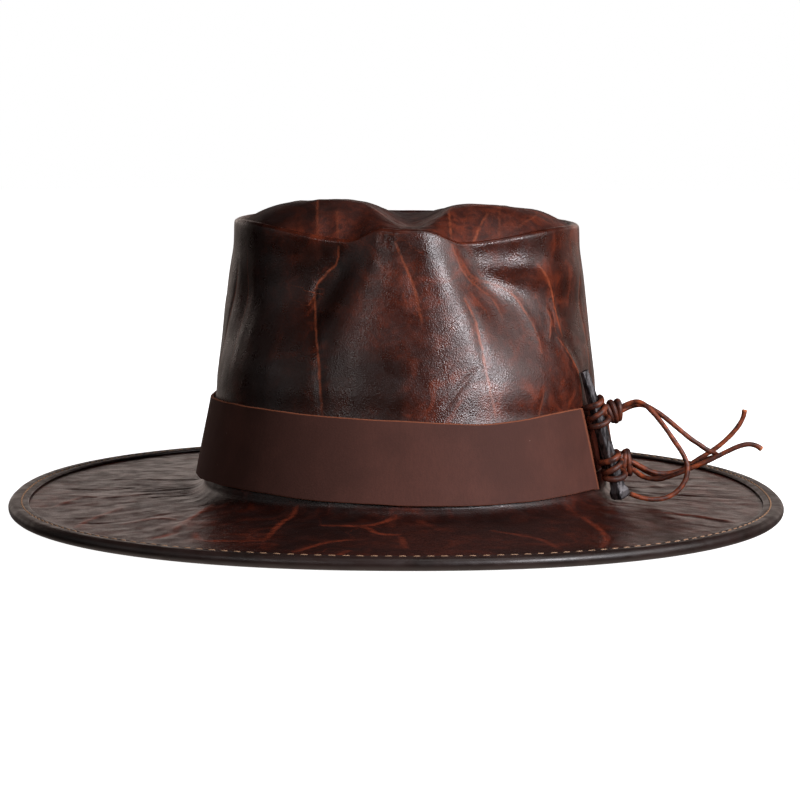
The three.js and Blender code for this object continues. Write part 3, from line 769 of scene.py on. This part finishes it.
# Wrinkles of the top, at points of (distance across, y)
TOP_CREASES = [
    (0.22, 2.0, 0.4, [(-38.1, -70), (-38.8, -44), (-37, -34)]),
    (-0.2, 2.4, 0, [(-34, -70), (-34.4, -46)]),
    (0.2, 1.6, 0.3, [(-28.9, -72), (-30.3, -56)]),
    # partly painted highlight: the orange of this wrinkle and of the one two lines down, on the right lobe
    (0.3, 2.0, 0.8, [(19, -76), (18.4, -53), (20, -40)]),
    (-0.25, 2.2, 0, [(24, -74), (24.5, -52)]),
    (0.3, 1.8, 0.8, [(27, -74), (30, -66), (35.5, -54)]),
    (-0.25, 1.6, 0.3, [(40, -68), (40.4, -46), (42, -36)]),
    (0.4, 3, 0.3, [(48, -60), (56, -44), (58, -24)]),
    (-0.7, 1.6, 0, [(-4, 66), (-9, 74), (-8, 84)]),
    (-0.7, 1.6, 0, [(6, 64), (10, 73), (9, 84)]),
    (-0.6, 2.0, 0, [(1, 58), (2, 72), (1, 84)]),
    (0.5, 3, 0.4, [(-46, -30), (-50, 4), (-44, 38)]),
    (0.5, 3, 0.5, [(40, -10), (46, 22), (38, 52)]),
]

bearing = full_turn(BEARINGS)
bearing = bearing - 0.3 * np.sin(bearing)
outer = crown_grid(bearing)
rows = len(outer)
across, heights = outer[..., 0] - CROWN_X, outer[..., 2]
row_number = np.broadcast_to(np.arange(rows)[:, None], heights.shape)
on_wall = (row_number < WALL_ROWS).ravel()

# The wall laid flat, once with its middle at the front and once at the back, and the top from above
front_bearing = np.degrees((bearing + math.pi) % TURN - math.pi)
front_plane = spots(front_bearing * WALL_ARC, heights).reshape(-1, 2)
back_plane = spots(np.degrees(bearing) * WALL_ARC, heights).reshape(-1, 2)
top_plane = spots(across, outer[..., 1]).reshape(-1, 2)
front_lines = []
back_lines = []
for height, width, tint, points in CROWN_CREASES:
    lines = back_lines if points[0][0] > FRONT_HALF else front_lines
    lines.append((height, width, tint, [(at * WALL_ARC, z) for at, z in points]))
relief, offset, strength = creases(front_plane, front_lines, on_wall)
for plane, lines, where in ((back_plane, back_lines, on_wall), (top_plane, TOP_CREASES, ~on_wall)):
    other_relief, other_offset, other_strength = creases(plane, lines, where)
    relief += other_relief
    nearer = np.abs(other_offset) < np.abs(offset)
    offset = np.where(nearer, other_offset, offset)
    strength = np.where(nearer, other_strength, strength)
relief = relief.reshape(heights.shape)

for at, height, reach_round, reach_up, amount in CROWN_SWELLINGS:
    swelling = amount * bell(front_bearing, at, reach_round) * bell(heights, height, reach_up)
    relief += swelling * (row_number <= CREST_ROW)

# Uneven leather: lumps, upright wrinkles at the sides, and a rougher crease down the middle of the top
relief += 0.7 * noise(outer, 34, 1) + 0.3 * noise(outer, 15, 2) + 0.13 * noise(outer * (1, 1, 0.35), 7, 3)
relief += 0.04 * np.abs(np.sin(bearing)) ** 6 * noise(outer * (1, 1, 0.12), 3.6, 8)
saddle = (row_number > TOP_ROW) * bell(across, 0, 16)
relief += saddle * (0.5 * noise(outer, (5, 9, 9), 9) + 0.2 * noise(outer, 2.6, 10))
keep_band = smooth(BAND_TOP - 1, BAND_TOP + 7, heights)
keep_fold = 1 - 0.6 * bell(row_number, CREST_ROW, 5)
outer = outer + grid_normals(outer) * (relief * keep_band * keep_fold)[..., None]

# Scuffs where the leather bends outwards, and a painted highlight, more orange, on the front of the right
# lobe
normals = grid_normals(outer)
after, before = np.roll(outer, -1, axis=1), np.roll(outer, 1, axis=1)
bend_round = (after - 2 * outer + before) * -normals
bend_up = np.zeros_like(outer)
bend_up[1:-1] = (outer[2:] - 2 * outer[1:-1] + outer[:-2]) * -normals[1:-1]
length_up = np.linalg.norm(np.gradient(outer, axis=0), axis=2)
curvature = bend_round.sum(axis=2) / ((after - outer) ** 2).sum(axis=2)
curvature += bend_up.sum(axis=2) / length_up ** 2
for _ in range(3):
    curvature = (curvature + np.roll(curvature, 1, axis=1) + np.roll(curvature, -1, axis=1)) / 3
across, y = outer[..., 0] - CROWN_X, outer[..., 1]
wear_and_painted_highlight = 0.25 * smooth(0.08, 0.3, curvature)
wear_and_painted_highlight[-6:] = 0
# painted highlight: the front of the right lobe made more orange
wear_and_painted_highlight += 0.75 * bell(across, 32, 24) * bell(y, -58, 16) * (row_number > TOP_ROW)
wear_and_painted_highlight[WALL_ROWS - 4:] *= bell(across[WALL_ROWS - 4:], 8, 26)

front_view = spots(across, outer[..., 2]).reshape(-1, 2)
# tone of the front wall and the top, with painted light on the right and painted shade on the left
warm = np.where(on_wall, tone_and_painted_light(front_view, WALL_TONE_AND_PAINTED_LIGHT) * (y.ravel() < 0), tone_and_painted_light(top_plane, TOP_TONE_AND_PAINTED_LIGHT))
dull = smooth(WALL_ROWS + 4, WALL_ROWS + 18, row_number) * (1 + 0.9 * smooth(-52, -12, y))
dull = np.maximum(dull, 0.5 * smooth(0, 70, y))

# Inner face: fewer rows, closest over the fold
inner_rows = list(range(0, WALL_ROWS, 8))
inner_rows += [WALL_ROWS + k for k in (-1, 2, 6, 10, 14, 20, 26, 34, 42)] + [rows - 1]
inner = (outer - LEATHER * normals)[inner_rows]
inner[0, :, 2] = CROWN_BOTTOM
top_point = outer[-1].mean(axis=0)
tips = [top_point, top_point - (0, 0, LEATHER)]
points = np.vstack([outer.reshape(-1, 3), inner.reshape(-1, 3), tips])
inner_start = rows * BEARINGS
tip = inner_start + len(inner_rows) * BEARINGS
faces = grid_faces(rows, BEARINGS)
outer_faces = len(faces)
faces += grid_faces(len(inner_rows), BEARINGS, start=inner_start, flip=True)
faces += join_rings(inner_start, 0, BEARINGS)
inner_faces = len(faces) - outer_faces
for c in range(BEARINGS):
    after = (c + 1) % BEARINGS
    faces.append((inner_start - BEARINGS + c, inner_start - BEARINGS + after, tip))
    faces.append((tip - BEARINGS + after, tip - BEARINGS + c, tip + 1))
extra = len(points) - inner_start
crown = make_piece(
    "crown_shell", points, faces, [crown_leather, rough_leather],
    values={
        "crease_offset": padded(offset, extra, FAR),
        "crease_strength": padded(strength, extra),
        "wear_and_painted_highlight": padded(wear_and_painted_highlight, extra),
        "tone_and_painted_light": padded(warm, extra),
        "dull": padded(dull, extra),
    },
    face_material=[0] * outer_faces + [1] * inner_faces + [0, 1] * BEARINGS,
)
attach(crown, "root")
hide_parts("crown")

# Brim: collar, bend and wide flat, with streaks that run outwards

BINDING_WALL = 1.3
BINDING_WIDTH = 9.2
BRIM_HIGH = 1.6 + LEATHER
BEND_REACH = 11
COLLAR_TOP = 19.7
COLLAR_HALF_WIDTH = 92
COLLAR_HALF_LENGTH = 112
# radius at which the streaks have their full size
STREAK_RADIUS = 118
# Creases of the brim, at points of (x, y)
BRIM_CREASES = [
    (-0.3, 2, 0.8, [(-42, -97), (-48, -115), (-53, -145)]),
    (-0.3, 2, 0.9, [(1, -111), (-13, -122), (-32, -122)]),
    (-0.3, 2, 0.8, [(-13, -122), (-7, -135), (3, -138)]),
    (-0.3, 2, 0.9, [(-41, -170), (-28, -151), (-16, -146)]),
    (-0.2, 2, 0.7, [(-26, -184), (-18, -165)]),
    (0.4, 2.5, 0.8, [(-92, -120), (-86, -90), (-80, -62)]),
    (-0.3, 2, 0.8, [(-83, -125), (-77, -143), (-52, -146)]),
    (-0.3, 2, 0.7, [(-100, -141), (-89, -124)]),
    (0.4, 2, 0.7, [(-134, -110), (-130, -87), (-119, -58)]),
    (0.4, 2, 0.6, [(-152, -52), (-142, -20)]),
    (0.4, 2, 0.6, [(-116, -104), (-103, -90), (-92, -94)]),
    (-0.3, 2, 0.9, [(79, -92), (85, -116), (86, -138), (82, -158)]),
    (-0.2, 2, 0.6, [(2, -140), (4, -162)]),
    (-0.2, 2, 0.5, [(38, -128), (58, -140), (66, -160)]),
    (0.3, 2.0, 0.3, [(-108, 28), (-128, 36), (-150, 36)]),
    (0.3, 2.0, 0.3, [(-110, -18), (-130, -24), (-152, -12)]),
    (-0.3, 1.6, 0, [(-112, 6), (-132, 0), (-158, 10)]),
    (0.3, 2.0, 0.3, [(112, 8), (132, 22), (154, 24)]),
    (-0.3, 1.6, 0, [(112, -20), (134, -12), (158, -16)]),
    (0.4, 2.0, 0.5, [(108, -66), (128, -72), (146, -84)]),
    (-0.4, 2, 0.7, [(40, 118), (52, 138), (50, 164)]),
    (-0.4, 2, 0.7, [(-22, 122), (-34, 146), (-28, 172)]),
    (0.4, 2, 0.6, [(-84, 96), (-98, 118), (-92, 138)]),
    (0.4, 2, 0.6, [(92, 84), (112, 104), (110, 126)]),
]

BRIM_BEARINGS = 600
bearing = full_turn(BRIM_BEARINGS)


def collar_foot(bearing):
    """Height where the brim turns up into its collar, and where the band's lower edge lies."""
    return mix(12.0, 14.2, np.cos(bearing) ** 2)


collar = wall_radius(bearing, COLLAR_TOP)
break_height = mix(6.2, 8.0, np.cos(bearing) ** 2)
bend_height = collar_foot(bearing) - break_height
foot = wall_radius(bearing, break_height + bend_height)
rim = rim_radius(bearing)
inside = rim - BINDING_WIDTH - 1
edge = rim - BINDING_WALL - 0.3


def brim_bend(angle, drop):
    across, down = math.cos(angle), math.sin(angle)
    steep = np.hypot(bend_height * across, BEND_REACH * down)
    reach = foot + BEND_REACH * (1 - across) - drop * bend_height * across / steep
    return reach, break_height + bend_height * (1 - down) - drop * BEND_REACH * down / steep


def brim_rows(bends, parts, drop):
    """Rows of points from the collar out to the rim, a distance drop under the upper face."""
    rows = [(collar - drop, COLLAR_TOP, 0)]
    rows += [(*brim_bend(angle, drop), 0) for angle in bends]
    for part in parts:
        rows.append((foot + BEND_REACH, mix(BRIM_HIGH, break_height, (1 - part) ** 1.5) - drop, part))
    placed = []
    for reach, z, part in rows:
        placed.append(mix(ring(reach, bearing, z, CROWN_X), ring(inside, bearing, z), part))
    return np.array(placed + [ring(edge, bearing, BRIM_HIGH - drop)])


upper = brim_rows(np.radians(np.arange(0, 91, 7.5)), np.linspace(0.012, 1, 74), 0)
lower = brim_rows(np.radians(np.arange(0, 91, 15)), np.linspace(0.04, 1, 25), LEATHER)


def brim_relief(grid):
    """Lift of the sheet, and the creases' offset and strength, at points of the brim."""
    flat = grid[..., :2].reshape(-1, 2)
    lift, offset, strength = creases(flat, BRIM_CREASES, np.ones(len(flat), bool))
    lift = lift.reshape(grid.shape[:2])
    out = np.hypot((grid[..., 0] - CROWN_X) / COLLAR_HALF_WIDTH, grid[..., 1] / COLLAR_HALF_LENGTH)
    reach = np.hypot(grid[..., 0], grid[..., 1])
    warp = 7 * noise(grid, 38, 21) + 2.5 * noise(grid, 13, 22)
    streak = spots(bearing * STREAK_RADIUS + warp, reach * 0.16, 0)
    fine = spots(bearing * STREAK_RADIUS + warp, reach * 0.1, 40)
    sideways = np.abs(np.sin(bearing))
    sides = 0.25 + 0.75 * smooth(0.35, 0.8, sideways)
    lift += sides * (0.13 * noise(streak, 8.5, 23) + 0.14 * noise(fine, 3.2, 24))
    lift += sides * 0.12 * noise(fine, 1.6, 28) + 0.35 * noise(grid, 30, 25) + 0.08 * noise(grid, 4.5, 26)
    lift -= sides * 0.2 * bell(noise(streak, 13, 29), 0, 0.18)
    pleats = bell(sideways, 1, 0.05) * smooth(1.36, 1.06, out)
    lift += 0.35 * pleats * noise(spots(bearing * 100, 0, 0), 3.2, 27)
    keep = smooth(1.0, 1.1, out) * smooth(0, 9, inside - reach)
    return lift * keep, offset, strength


upper_lift, upper_offset, upper_strength = brim_relief(upper)
lower_lift, _, _ = brim_relief(lower)
upper[..., 2] += upper_lift
lower[..., 2] += lower_lift
# painted sheen: the brim made warmer and lighter towards its sides
brim_tone_and_side_sheen = 0.3 + 0.8 * np.sin(bearing) ** 2 + 0 * upper_lift
brim_wear = 0.3 * smooth(0.35, 1.1, upper_lift)
points = np.vstack([upper.reshape(-1, 3), lower.reshape(-1, 3)])
count = len(upper) * BRIM_BEARINGS
extra = len(points) - count
faces = grid_faces(len(upper), BRIM_BEARINGS, flip=True)
upper_faces = len(faces)
faces += grid_faces(len(lower), BRIM_BEARINGS, start=count)
faces += join_rings(0, count, BRIM_BEARINGS)
faces += join_rings(len(points) - BRIM_BEARINGS, count - BRIM_BEARINGS, BRIM_BEARINGS)
brim = make_piece(
    "brim_sheet", points, faces, [brim_leather, rough_leather],
    values={
        "crease_offset": padded(upper_offset, extra, FAR),
        "crease_strength": padded(upper_strength, extra),
        "wear_and_painted_highlight": padded(brim_wear, extra),
        "tone_and_painted_light": padded(brim_tone_and_side_sheen, extra),
    },
    face_material=[0] * upper_faces + [1] * (len(faces) - upper_faces),
)
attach(brim, "root")
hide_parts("brim")

# Binding: rolled bead, flap over and under the brim, a groove where it is sewn

STITCH_INSET = 6.0
STITCH_PITCH = 5.5
STITCH_SIDES = 6
BEAD = 2.7
ROOF = 4.1
BINDING_BEARINGS = 720
flap = np.array([3.4, 4.4, 5.1, 5.5, 5.8, 6.0, 6.2, 6.5, 6.9, 7.6, 8.5, 9.0])
flap_top = 2 * BEAD - 0.5 * ((flap - 3.4) / 5.8) ** 3 - 0.38 * bell(flap, STITCH_INSET, 0.55)
flap_floor = 0.6 * bell(flap, STITCH_INSET, 0.7)
# section as (distance in from the rim, height): the bead, over the brim, back in and round under it
bead_angles = np.radians(np.arange(-90, 91, 12))
section = [(BEAD - BEAD * math.cos(angle), BEAD + BEAD * math.sin(angle)) for angle in bead_angles]
section += list(zip(flap, flap_top))
section += [(BINDING_WIDTH, 4.6), (BINDING_WIDTH, ROOF), (4.5, ROOF), (BINDING_WALL, ROOF)]
section += [(BINDING_WALL, 1.3), (4.5, 1.3), (BINDING_WIDTH, 1.3), (BINDING_WIDTH, 0.2)]
section += list(zip(flap, flap_floor))[::-1]
bearing = full_turn(BINDING_BEARINGS)
rim = rim_radius(bearing)
binding_grid = np.array([ring(rim - inset, bearing, z) for inset, z in section])
outside = np.array([0.5 < z < 5 and inset < 3 for inset, z in section])[:, None]
lumpy = 0.1 * outside * noise(binding_grid, 9, 31)
lumpy += 0.05 * noise(binding_grid, 4, 32) * (binding_grid[..., 2] > 1.5)
binding_grid[..., :2] *= (1 + (lumpy - 0.1) / rim)[..., None]
faces = grid_faces(len(section), BINDING_BEARINGS)
faces += join_rings((len(section) - 1) * BINDING_BEARINGS, 0, BINDING_BEARINGS)
binding = make_piece("rim_binding", binding_grid, faces, [binding_leather])
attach(binding, "root")
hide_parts("brim_binding")

# Stitches, one small thread body each, above and below

sample = np.linspace(0, TURN, 4001)
path = ring(rim_radius(sample) - STITCH_INSET, sample, 0)[:, :2]
arc = np.concatenate([[0], np.cumsum(np.hypot(*np.diff(path, axis=0).T))])
stitch_count = int(arc[-1] / STITCH_PITCH)
stitch_parts = (-1, -0.86, -0.5, 0, 0.5, 0.86, 1)
angle = full_turn(STITCH_SIDES)
stitch_points = []
stitch_faces = []
uneven = np.random.default_rng(7)
# above and below: height of a stitch's middle, how its ends leave that height, and its half height at most
for level, bow, power, limit in ((5.2, -0.6, 4, 1), (0.3, 0.12, 2, 0.29)):
    for k in range(stitch_count):
        middle = arc[-1] * (k + 0.5 + 0.04 * (uneven.random() - 0.5)) / stitch_count
        half = 2.15 + 0.15 * (uneven.random() - 0.5)
        stitch_faces += tube_faces(len(stitch_parts), STITCH_SIDES, start=len(stitch_points))
        for part in stitch_parts:
            at = np.interp(middle + half * part, arc, sample)
            thick = 0.38 * math.sqrt(max(0.05, 1 - part ** 4))
            reach = rim_radius(at) - STITCH_INSET + thick * np.cos(angle)
            z = level + bow * part ** power + min(thick, limit) * np.sin(angle)
            stitch_points += ring(reach, at, z).tolist()
stitches = make_piece("rim_stitches", stitch_points, stitch_faces, [thread])
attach(stitches, "root")

# Band: a strip with rounded cut edges

BAND_WALL = 1.6
BAND_CLEAR = 0.4
BAND_STEPS = 420
# at a bearing in degrees: lift of the lower and the upper edge, and how far each stands off the crown
BAND_LIE = smooth_line([
    (-180, 0, 0, 0, 0), (-150, 0, 0, 0, 0), (-95, 2.2, 0.6, 2.5, 0.4), (-62, 3.0, 2.3, 1.8, 0.3),
    (-45, 3.0, 2.5, 0.8, 0), (-36, 2.6, 2.3, 0.3, 0), (-28, 1.8, 1.9, 0, 0), (-20, 0.9, 1.4, 0, 0),
    (-10, 0.2, 0.8, 0, 0), (0, -0.25, 0.1, 0, 0), (9, -0.4, -0.9, 0, 0), (18, -0.45, -1.7, 0, 0),
    (28, -0.1, -0.9, 0, 0), (42, 1.1, 0.8, 0, 0), (54, 1.0, 0.9, 0, 0), (63, 0, 0, 0, 0),
    (90, 0, 0, 0, 0), (180, 0, 0, 0, 0),
], steps=8)

# Section as (part of the way up, part of the wall's thickness), round from the foot of the outer face
rounding = [0.10, 0.35, 0.65, 0.90]
corners = [(t, 1.0) for t in (0.008, *np.linspace(0.02, 0.98, 24), 0.988, 0.994)]
corners += [(1.0, 1 - w) for w in rounding]
corners += [(0.995 - 0.99 * t, 0.0) for t in np.linspace(0, 1, 7)]
corners += [(0.0, w) for w in rounding]
part = np.linspace(0, 1, BAND_STEPS)
band_grid = []
band_cut = []
for top, wall in corners:
    start = np.radians(mix(71, 63.8, top))
    end = np.radians(mix(60, 54.2, top)) + TURN
    bearing = mix(start, end, part)
    at = (np.degrees(bearing) + 180) % 360 - 180
    low_lift, top_lift, low_off, top_off = (np.interp(at, BAND_LIE[:, 0], row) for row in BAND_LIE.T[1:])
    z = mix(collar_foot(bearing) + low_lift, BAND_TOP + top_lift, top)
    edge_wave = noise(spots(bearing * 100, 0, 40 * round(top)), 11, 41)
    z = z + 0.22 * edge_wave * (abs(top - 0.5) * 2) ** 6
    free_end = np.maximum(0, 1 - np.degrees(bearing - start) / 22)
    stand_off = mix(4.6, 5.9, top) * free_end ** 1.3 + mix(low_off, top_off, top)
    radius = wall_radius(bearing, z) + BAND_CLEAR + BAND_WALL * wall + stand_off
    along = spots(bearing * 100, z, 0)
    radius = radius + wall * (0.12 * noise(along, 22, 42) + 0.05 * noise(along, 6, 43) - 0.1)
    band_grid.append(ring(radius, bearing, z, CROWN_X))
    band_cut.append(np.full(BAND_STEPS, float(top > 0.99 or (top < 0.01 and wall < 0.99))))
band_cut = np.array(band_cut)
for end in (slice(0, 2), slice(-2, None)):
    band_cut[:, end] = np.maximum(band_cut[:, end], 0.8)
points = np.array(band_grid).reshape(-1, 3)
end_points = range(0, len(points), BAND_STEPS)
faces = []
for first in end_points:
    second = (first + BAND_STEPS) % len(points)
    faces += [(first + c, first + c + 1, second + c + 1, second + c) for c in range(BAND_STEPS - 1)]
faces.append(tuple(end_points))
faces.append(tuple(k + BAND_STEPS - 1 for k in end_points)[::-1])
band = make_piece("band_strip", points, faces, [band_leather], values={"cut": band_cut})
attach(band, "root")
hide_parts("hat_band")

# Nail: square and tapering with hammered faces, head at the bottom

nail_head = Vector((99.4, -46, 8.6))
nail_tip = Vector((81.9, -54.1, 65.5))
nail_axis = nail_tip - nail_head
nail_length = nail_axis.length
nail_turn = Vector((0, 0, 1)).rotation_difference(nail_axis.normalized()).to_matrix()
nail_turn = np.array(nail_turn @ Matrix.Rotation(math.pi / 4, 3, "Z"))
nail_origin = np.array(nail_head)


def on_nail(points):
    return np.asarray(points) @ nail_turn.T + nail_origin


NAIL_PARTS = (0.0, 0.014, 0.055, 0.082, 0.1, 0.55, 0.82, 1.0)
NAIL_WIDE = (2.6, 3.3, 3.5, 2.8, 2.5, 2.4, 2.0, 1.8)
NAIL_DEEP = (2.4, 3.2, 3.4, 2.7, 2.5, 2.3, 1.8, 1.0)
NAIL_SIDES = 40
angle = (np.arange(NAIL_SIDES) + 0.5) * TURN / NAIL_SIDES
square = (np.abs(np.cos(angle)) ** 10 + np.abs(np.sin(angle)) ** 10) ** (-1 / 10)
outline = spots(square * np.cos(angle), square * np.sin(angle), nail_length)
nail_parts = np.concatenate([np.linspace(0, 0.12, 26), np.linspace(0.13, 1, 110)])
wide = np.interp(nail_parts, NAIL_PARTS, NAIL_WIDE)
deep = np.interp(nail_parts, NAIL_PARTS, NAIL_DEEP)
nail_grid = np.array([outline * scale for scale in zip(wide, deep, nail_parts)])
hammered = 0.05 * noise(nail_grid, (2.4, 2.4, 14), 51) + 0.03 * noise(nail_grid, (1.0, 1.0, 7), 52) - 0.08
nail_grid[..., :2] *= (1 + hammered / np.linalg.norm(nail_grid[..., :2], axis=2))[..., None]
nail = make_piece("forged_nail", on_nail(nail_grid), tube_faces(len(nail_parts), NAIL_SIDES), [nail_iron])
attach(nail, "root")
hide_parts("nail")

# Lashings: three turns of lace each, every turn leaning its own way

KNOT_SIDES = 14
LASHING_RADIUS = 1.32
LASHINGS = (
    dict(name="upper_lashing", part=0.66, turns=3, pitch=4.6, radius=4.1, lean=(0.9, -0.5, 0.3)),
    dict(name="lower_lashing", part=0.235, turns=3, pitch=4.3, radius=4.4, lean=(1.9, -0.2, 0.2)),
)
for lashing in LASHINGS:
    t = np.linspace(0, 1, 150)
    angle = TURN * lashing["turns"] * t
    lean = np.interp(t * lashing["turns"], (0.5, 1.5, 2.5), lashing["lean"])
    rise = lashing["pitch"] * lashing["turns"] * (t - 0.5) + lean * np.cos(angle - 2.2)
    radius = lashing["radius"] + 0.25 * np.sin(2.7 * angle)
    line = spots(radius * np.cos(angle), radius * np.sin(angle), rise + lashing["part"] * nail_length)
    piece = make_tube(lashing["name"] + "_lace", on_nail(line), LASHING_RADIUS, KNOT_SIDES, [knot_leather])
    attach(piece, "root")
    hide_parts(lashing["name"])

# Knots: upright turns of lace side by side, drawn tight round the strands that leave them

KNOT_RADIUS = 1.3
KNOT_TURNS = 2.7
KNOTS = (
    dict(name="upper_knot", centre=(97.3, -31.8, 45.6), tall=4.1, deep=2.7, pitch=2.3,
         out=(0.96, 0.1, 0.15), tilt=(-0.4, 0.15, 0.5), grow=(1.0, 1.1, 0.85)),
    dict(name="lower_knot", centre=(102.2, -26.6, 22.0), tall=5.0, deep=2.8, pitch=2.2,
         out=(0.98, 0.1, -0.15), tilt=(0.45, -0.15, -0.5), grow=(0.86, 1.08, 0.9)),
)
for knot in KNOTS:
    out = np.array(knot["out"])
    out /= np.linalg.norm(out)
    deep_way = np.cross(out, (0, 0, 1))
    deep_way /= np.linalg.norm(deep_way)
    tall_way = np.cross(deep_way, out)
    t = np.linspace(0, 1, 150)
    turn = KNOT_TURNS * t
    angle = TURN * turn + 0.6
    size = np.interp(turn, (0.5, 1.6, KNOT_TURNS), knot["grow"])
    tilt = np.interp(turn, (0.5, 1.6, KNOT_TURNS), knot["tilt"])
    travel = knot["pitch"] * (turn - KNOT_TURNS / 2) + knot["tall"] * tilt * np.cos(angle) * 0.55
    line = np.array(knot["centre"]) + np.outer(travel, out)
    line += np.outer(knot["tall"] * size * np.cos(angle), tall_way)
    line += np.outer(knot["deep"] * size * np.sin(angle), deep_way)
    piece = make_tube(knot["name"] + "_lace", line, KNOT_RADIUS, KNOT_SIDES, [knot_leather])
    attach(piece, "root")
    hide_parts(knot["name"])

# Floor, light and surroundings

floor_look = Look("floor_paper")
floor_look.set(colour=(0.86, 0.86, 0.86, 1), rough=0.9, shine=0.1, glow=(1, 1, 1, 1), glow_strength=1.0)
FLOOR = 6000
corners = [(-FLOOR, -FLOOR, 0), (FLOOR, -FLOOR, 0), (FLOOR, FLOOR, 0), (-FLOOR, FLOOR, 0)]
floor = make_piece("floor", corners, [(0, 1, 2, 3)], [floor_look.material])
floor.location.z = -0.4 * MM
floor.visible_diffuse = False
floor.visible_glossy = False


def softbox(name, azimuth, elevation, distance, width, height, power, colour=(1, 1, 1)):
    """Area light aimed at the crown, in metres and watts. Azimuth turns from the front towards +X."""
    data = bpy.data.lights.new(name, "AREA")
    data.shape = "RECTANGLE"
    data.size = width
    data.size_y = height
    data.energy = power
    data.color = colour
    light = add_object(name, data)
    a, e = math.radians(azimuth), math.radians(elevation)
    aim = Vector((0, 0, 0.08))
    way = Vector((math.sin(a) * math.cos(e), -math.cos(a) * math.cos(e), math.sin(e)))
    light.location = aim + way * distance
    light.rotation_euler = way.to_track_quat("Z", "Y").to_euler()
    return light


LIGHTS = [
    ("key", 41, 21, 1.6, 0.31, 0.5, 25, (1.0, 0.98, 1.03)),
    ("side", 74, 24, 1.6, 1.0, 1.0, 9),
    ("fill", -30, 20, 1.8, 0.35, 0.5, 3.2),
    ("left", -80, 15, 1.8, 1.0, 1.0, 1.2),
    ("top", 34, 70, 1.6, 0.6, 0.6, 2.8),
]
for light in LIGHTS:
    softbox(*light)
# behind the hat, for the views from there
softbox("back", 200, 24, 2.0, 1.0, 0.8, 9).visible_glossy = False

# Surroundings: white to the camera; otherwise a low glow behind the hat, and light thrown up by the ground
world = bpy.data.worlds.new("studio")
sky = Nodes(world, "Generated")
way = sky.add("ShaderNodeSeparateXYZ", {0: sky.place}).outputs
seen = sky.add("ShaderNodeLightPath").outputs["Is Camera Ray"]
behind = sky.remap(way["Y"], 0.62, 0.98)
low = sky.remap(way["Z"], 0.32, 0.12, 0.0, 1.5)
horizon = sky.remap(way["Z"], -0.02, 0.11, 0.2, way="LINEAR")
bounce = sky.remap(way["Z"], -0.4, -0.8, 0.0, 0.8, way="LINEAR")
lit = sky.math("ADD", sky.times(behind, sky.times(low, horizon)), bounce)
back = sky.tree.nodes["Background"]
sky.feed(back.inputs["Strength"], sky.math("MAXIMUM", lit, seen))
sky.feed(back.inputs["Color"], sky.blend(seen, (1, 0.84, 0.76, 1), (1, 1, 1, 1)))
bpy.context.scene.world = world
bpy.context.scene.view_settings.view_transform = "Standard"
bpy.context.scene.view_settings.look = "None"
